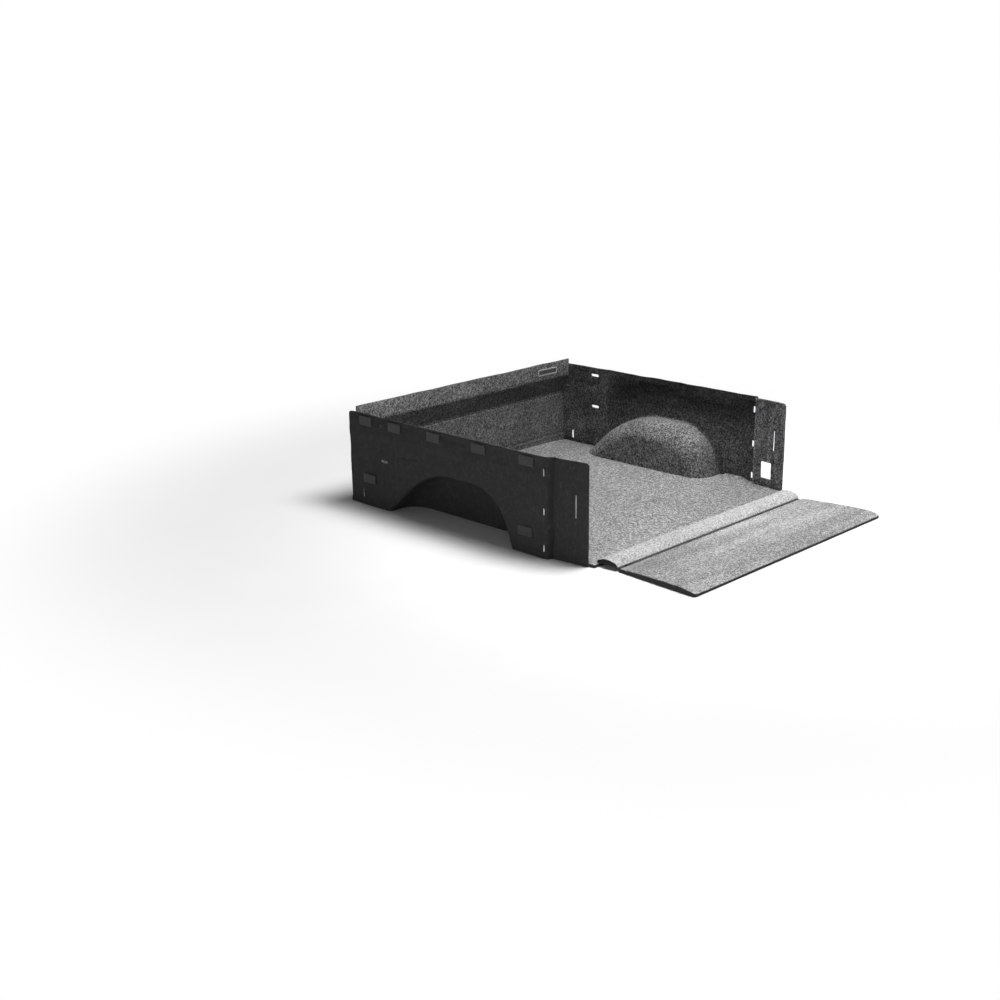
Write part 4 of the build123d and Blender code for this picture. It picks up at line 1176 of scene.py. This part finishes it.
# foam under it, with the zip's ledge along its front and pockets for the pads below
foam_outline = np.array([(x, MAT_FOAM_FRONT if y > MAT_FRONT - 1 else y) for x, y in mat_outline])
extra = [(x, y) for y in (MAT_FRONT + 0.6, MAT_FRONT - 0.6, MAT_FRONT - 18.0, MAT_FRONT - 20.0) for x in np.arange(-MAT_HALF + 3, MAT_HALF, 12.0)]
pads_at = [(x, y) for y in (-240.0, -500.0) for x in (-600.0, -200.0, 200.0, 600.0)]
extra_b = []
for x, y in pads_at:
    for w in (0.0, 2.2):
        extra_b += [tuple(p) for p in dense(round_rect(x, y, PAD_L + 1.0 + w, PAD_W + 1.0 + w, 6.5), 6.0)]
ov, ot, o_far = region(foam_outline, [], 15.0, extra + extra_b, rings=(1.2,))
o_top = np.interp(ov[:, 1], mat_curve[order, 0], mat_curve[order, 1])
o_swell = (0.9 * waves(ov[:, 0], ov[:, 1], 380.0, 61) + 0.5 * waves(ov[:, 0] * 0.35, ov[:, 1], 70.0, 62)) * ramp(0.0, 40.0, MAT_FRONT - ov[:, 1])
o_corner = 1.6 * ramp(700.0, 800.0, np.abs(ov[:, 0])) * ramp(440.0, 600.0, -ov[:, 1])
o_up = o_top - 5.05 + 0.6 * o_swell + o_corner
o_up = np.minimum(o_up, o_top - 2.6 + o_swell + o_corner - 0.2)
o_up = np.where(ov[:, 1] > MAT_FRONT - 19.0, np.minimum(o_up, tape_lo[2] - 0.15), o_up)
o_up = np.where(ov[:, 1] > MAT_FRONT, 9.0, o_up)
o_low = np.zeros(len(ov))
for x, y in pads_at:
    qx = np.maximum(np.abs(ov[:, 0] - x) - (PAD_L / 2 - 5.45), 0.0)
    qy = np.maximum(np.abs(ov[:, 1] - y) - (PAD_W / 2 - 5.45), 0.0)
    o_low = np.where(np.hypot(qx, qy) < 6.5, 2 * PAD_T, o_low)
vv, ff, kind = closed(np.c_[ov, o_up], np.c_[ov, o_low], ot)
place(make("tailgate_foam_pad", vv, ff, [foam]), "tailgate_mat", "cell_foam", "tailgate_foam")


# ====================================================================== hook and loop pads
def pad_mesh(centres, frames, thick, rough, seed):
    """Rounded pads with a nap of bumps on their faces. frames gives for each pad: centre, u, v, out."""
    verts, faces = [], []
    rng = np.random.default_rng(seed)
    nu, nv = 34, 18
    for c, u, v, out in frames:
        base = len(verts)
        for layer in (0, 1):
            for i in range(nu):
                for j in range(nv):
                    a, b = (i / (nu - 1) - 0.5), (j / (nv - 1) - 0.5)
                    px, py = a * PAD_L, b * PAD_W
                    # corners pulled in to a 6 mm radius
                    qx, qy = abs(px) - (PAD_L / 2 - 6), abs(py) - (PAD_W / 2 - 6)
                    if qx > 0 and qy > 0:
                        k = 6 / max(math.hypot(qx, qy), 6)
                        px = math.copysign(PAD_L / 2 - 6 + qx * k, px)
                        py = math.copysign(PAD_W / 2 - 6 + qy * k, py)
                    edge_ = i in (0, nu - 1) or j in (0, nv - 1)
                    h = 0.0 if layer == 0 else thick - (0.5 if edge_ else 0.0)
                    if layer == 1 and not edge_:
                        h -= rough * (0.5 + 0.5 * ((i + j) % 2)) * rng.uniform(0.3, 1.0)
                    verts.append(c + u * px + v * py + out * h)
        m = nu * nv
        f = grid_faces(nu, nv, base)
        faces += [q[::-1] for q in f] + [tuple(i + m for i in q) for q in f]
        for a, b in rim_of(f):
            faces.append((a, b, b + m, a + m))
    return np.array(verts), faces


def pad_set(name, body, slot, material, node, frames, rough, seed):
    v, f = pad_mesh(None, frames, PAD_T - 0.05, rough, seed)
    return place(make(name, v, f, [material], None, 50.0), body, slot, node)


def arr(*a):
    return np.array(a, float)


side_pads = [(390, 490), (730, 490), (1070, 490), (1380, 490), (1620, 490), (400, 120), (1600, 160)]
for side, s in (("right", 1.0), ("left", -1.0)):
    for tag, mat_, level, rough in (("loop", loops, 0.0, 0.35), ("hook", hooks, PAD_T, 0.5)):
        lo, hi = cad_box(f"{side}_{tag}_pads")
        x = lo[0] if s > 0 else hi[0]
        fr_ = [(arr(x, y, z), arr(0, 1, 0), arr(0, 0, 1), arr(s, 0, 0)) for y, z in side_pads]
        pad_set(f"{side}_{tag}_pad_set", "liner_shell", f"{tag}_tape", mat_, f"{side}_{tag}_pads", fr_, rough, 100 + int(s) + len(tag))

band_z = (459.0 + 0.21 * 9 + FRONT_TOP) / 2
p0, p1 = arr(1742.0 + 9, 0.0), arr(1755.0 + 9, 347.0 + 0.21 * 9)
d = p1 - p0
out2 = arr(d[1], -d[0]) / np.linalg.norm(d)
foot = p0 + d * 0.28
up2 = d / np.linalg.norm(d)
for tag, mat_, level, rough in (("loop", loops, 0.0, 0.35), ("hook", hooks, PAD_T, 0.5)):
    fr_ = [(arr(x, BAND_Y + 9 + level, band_z), arr(1, 0, 0), arr(0, 0, 1), arr(0, 1, 0)) for x in (-660.0, -220.0, 220.0, 660.0)]
    o3 = arr(0, out2[0], out2[1])
    c3 = arr(0, foot[0], foot[1]) + o3 * level
    fr_ += [(c3 + arr(x, 0, 0), arr(1, 0, 0), arr(0, up2[0], up2[1]), o3) for x in (-660.0, -220.0, 220.0, 660.0)]
    pad_set(f"front_{tag}_pad_set", "liner_shell", f"{tag}_tape", mat_, f"front_{tag}_pads", fr_, rough, 140 + len(tag) + int(level))
for tag, mat_, z, rough in (("hook", hooks, PAD_T - 0.02, 0.5), ("loop", loops, 2 * PAD_T - 0.02, 0.35)):
    fr_ = [(arr(x, y, z), arr(1, 0, 0), arr(0, -1, 0), arr(0, 0, -1)) for x, y in pads_at]
    pad_set(f"tailgate_{tag}_pad_set", "tailgate_mat", f"{tag}_tape", mat_, f"tailgate_{tag}_pads", fr_, rough, 160 + len(tag))


# ====================================================================== zip
def coil(name, side, node):
    """Nylon coil elements: each is a bent loop gripping the tape and reaching over the gap."""
    lo, hi = cad_box(node)
    near = hi[1] if side < 0 else lo[1]
    far_ = lo[1] if side < 0 else hi[1]
    zc, zt = lo[2], hi[2]
    pitch = 2.5
    path = [(far_, zc + 0.5), (far_ + (near - far_) * 0.15, zc + 1.9), (far_ + (near - far_) * 0.55, zt - 0.5), (near - (near - far_) * 0.08, zt - 0.75), (near, (zc + zt) / 2 + 0.2), (near - (near - far_) * 0.12, zc + 0.75), (far_ + (near - far_) * 0.5, zc + 0.55)]
    path = even(catmull(path, 4), 9)
    t = np.gradient(path, axis=0)
    t /= np.linalg.norm(t, axis=1)[:, None]
    nn = np.stack([-t[:, 1], t[:, 0]], 1)
    radius = 0.5
    verts, faces = [], []
    x = lo[0] + 1.2 + (pitch / 2 if side > 0 else 0)
    while x < hi[0] - 1.0:
        base = len(verts)
        for i, (p, q) in enumerate(zip(path, nn)):
            skew = (i / (len(path) - 1) - 0.5) * 0.8
            flat_ = 1.35 if i in (3, 4, 5) else 1.0
            for k in range(6):
                w = 2 * math.pi * k / 6
                y, z = p + q * radius * math.cos(w)
                verts.append((x + skew + radius * flat_ * math.sin(w), y, z))
        faces += grid_faces(len(path), 6, base, wrap=True)
        faces.append(tuple(base + k for k in range(6)))
        faces.append(tuple(base + (len(path) - 1) * 6 + k for k in range(6))[::-1])
        x += pitch
    return place(make(name, verts, faces, [nylon], None, 60.0), "tailgate_mat", "zip_coil", node)


coil("zip_coil_mat_side", -1, "zip_chain_mat")
coil("zip_coil_guard_side", 1, "zip_chain_guard")

zc = (tape_lo[2] + tape_hi[2]) / 2
rail = [(y, zc) for y in np.linspace(tape_lo[1] + 0.3, tape_hi[1] - 0.1, 10)]
ribbon("zip_tape_mat_side", rail, 0.85, tape_lo[0], tape_hi[0], "tailgate_mat", "zip_tape", tape_web, "zip_tape_mat", gap=6.0)

# the flexible tape that joins mat and guard, laid in one curve across the seam
gt_lo, gt_hi = cad_box("zip_tape_guard")
rail = [(gt_lo[1] + 0.1, zc), (gt_lo[1] + 2.0, zc), (gt_hi[1], zc + 0.1), (-124.5, zc + 1.5), (-122.6, zc + 3.4), (-120.6, base_lo[2] - 1.2), (-117.0, base_lo[2] - 0.85), (-108.0, base_lo[2] - 0.8), (-98.0, base_lo[2] - 0.75)]
rail = even(catmull(rail, 6), 40)
seam = ribbon("zip_tape_seam", rail, 0.5, gt_lo[0], gt_hi[0], None, None, tape_web, gap=9.0, rideable=False)
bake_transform(seam)
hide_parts("zip_tape_guard")

sx = np.linspace(-GUARD_HALF + 20, GUARD_HALF - 20, 400)
sy = np.full_like(sx, MAT_FRONT - 6.0)
sz = np.full_like(sx, np.interp(MAT_FRONT - 6.0, mat_curve[order, 0], mat_curve[order, 1]) - 0.1)
stitches("mat_zip_stitches", np.c_[sx, sy, sz], "tailgate_mat", "zip_tape", dark_thread, 4.4, 2.2, 0.4, (0, 0, 1))

for n_ in ("zip_slider", "zip_pull", "zip_stops"):
    o = nodes[n_]
    o.data.materials.clear()
    o.data.materials.append(enamel)
    bev = o.modifiers.new("worn_edge", "BEVEL")
    bev.width, bev.segments, bev.limit_method, bev.angle_limit = 0.00012, 2, "ANGLE", math.radians(40)


# ====================================================================== stage, light, camera
def stage_material():
    """Pale floor that runs into the white background far from the part."""
    s = Shader("studio_floor")
    n = s.noise(2.0, 2.0, 0.5)
    s.done(s.colours(n, [(0.3, grey(0.86)), (0.7, grey(0.88))]), 0.7, specular=0.1)
    glow = s.tree.nodes.new("ShaderNodeEmission")
    glow.inputs[0].default_value = (1, 1, 1, 1)
    blend = s.tree.nodes.new("ShaderNodeMixShader")
    away = s.node("ShaderNodeVectorMath", 1, {"operation": "LENGTH"}, i0=s.node("ShaderNodeVectorMath", 0, {"operation": "SUBTRACT"}, i0=s.coord, i1=(0.0, 0.55, 0.0)))
    path = s.tree.nodes.new("ShaderNodeLightPath")
    part = s.math("MULTIPLY", s.fit(away, 1.6, 3.6, 0.0, 1.0, smooth=True), path.outputs["Is Camera Ray"])
    s.tree.links.new(part, blend.inputs[0])
    s.tree.links.new(s.bsdf.outputs[0], blend.inputs[1])
    s.tree.links.new(glow.outputs[0], blend.inputs[2])
    s.tree.links.new(blend.outputs[0], s.out.inputs["Surface"])
    return s.mat


stage_mesh = bpy.data.meshes.new("studio_floor")
k = 40
size = 60.0
sv = [(size * (i / k - 0.5), size * (j / k - 0.5), -0.0015) for i in range(k + 1) for j in range(k + 1)]
stage_mesh.from_pydata(sv, [], grid_faces(k + 1, k + 1))
stage_mesh.materials.append(stage_material())
floor_obj = bpy.data.objects.new("studio_floor", stage_mesh)
scene.collection.objects.link(floor_obj)

world = bpy.data.worlds.new("studio")
scene.world = world
world.use_nodes = True
wt = world.node_tree
wt.nodes.clear()
w_out = wt.nodes.new("ShaderNodeOutputWorld")
w_mix = wt.nodes.new("ShaderNodeMixShader")
w_light, w_seen = wt.nodes.new("ShaderNodeBackground"), wt.nodes.new("ShaderNodeBackground")
w_path = wt.nodes.new("ShaderNodeLightPath")
w_light.inputs[0].default_value, w_light.inputs[1].default_value = (0.97, 0.98, 1.0, 1), 0.10
w_seen.inputs[0].default_value, w_seen.inputs[1].default_value = (1, 1, 1, 1), 1.0
wt.links.new(w_path.outputs["Is Camera Ray"], w_mix.inputs[0])
wt.links.new(w_light.outputs[0], w_mix.inputs[1])
wt.links.new(w_seen.outputs[0], w_mix.inputs[2])
wt.links.new(w_mix.outputs[0], w_out.inputs[0])


def area(name, at, aim, size, power, colour=(1, 1, 1)):
    light = bpy.data.lights.new(name, "AREA")
    light.shape, light.size, light.size_y = "RECTANGLE", size[0], size[1]
    light.energy, light.color = power, colour
    obj = bpy.data.objects.new(name, light)
    obj.location = at
    obj.rotation_mode = "QUATERNION"
    obj.rotation_quaternion = (Vector(aim) - Vector(at)).to_track_quat("-Z", "Y")
    scene.collection.objects.link(obj)
    return obj


area("overhead", (0.6, -0.45, 4.9), (0.2, 0.15, 0), (2.2, 2.8), 365.0, (1.0, 0.998, 0.992))
area("rear_fill", (0.5, -5.2, 2.6), (0.1, 1.6, 0.3), (2.6, 1.6), 22.0, (0.99, 0.995, 1.0))
area("low_left", (-4.6, -0.6, 0.42), (0, 0.6, 0.2), (3.2, 0.7), 42.0)
area("low_right", (4.6, 0.8, 0.42), (0, 0.8, 0.2), (3.2, 0.7), 42.0)
area("low_front", (0.0, 6.2, 0.5), (0, 1.7, 0.2), (3.2, 0.8), 42.0)

scene.view_settings.view_transform = "Standard"
scene.view_settings.look = "None"
scene.view_settings.exposure = 0.0

cam_data = bpy.data.cameras.new("camera")
cam = bpy.data.objects.new("camera", cam_data)
scene.collection.objects.link(cam)
right = Vector((0.7043494, -0.7097442, -0.0124539))
up = Vector((0.2160831, 0.1976629, 0.9561577))
forward = Vector((0.6761657, 0.6761602, -0.2925875))
rot = Matrix((right, up, -forward)).transposed()
cam.matrix_world = Matrix.Translation((-5.87516, -4.30278, 2.38226)) @ rot.to_4x4()
cam_data.sensor_width = 36.0
cam_data.lens = 1.42034 * 36.0
cam_data.shift_x, cam_data.shift_y = 0.01245, -0.0008
cam_data.clip_start, cam_data.clip_end = 0.1, 200.0
scene.camera = cam
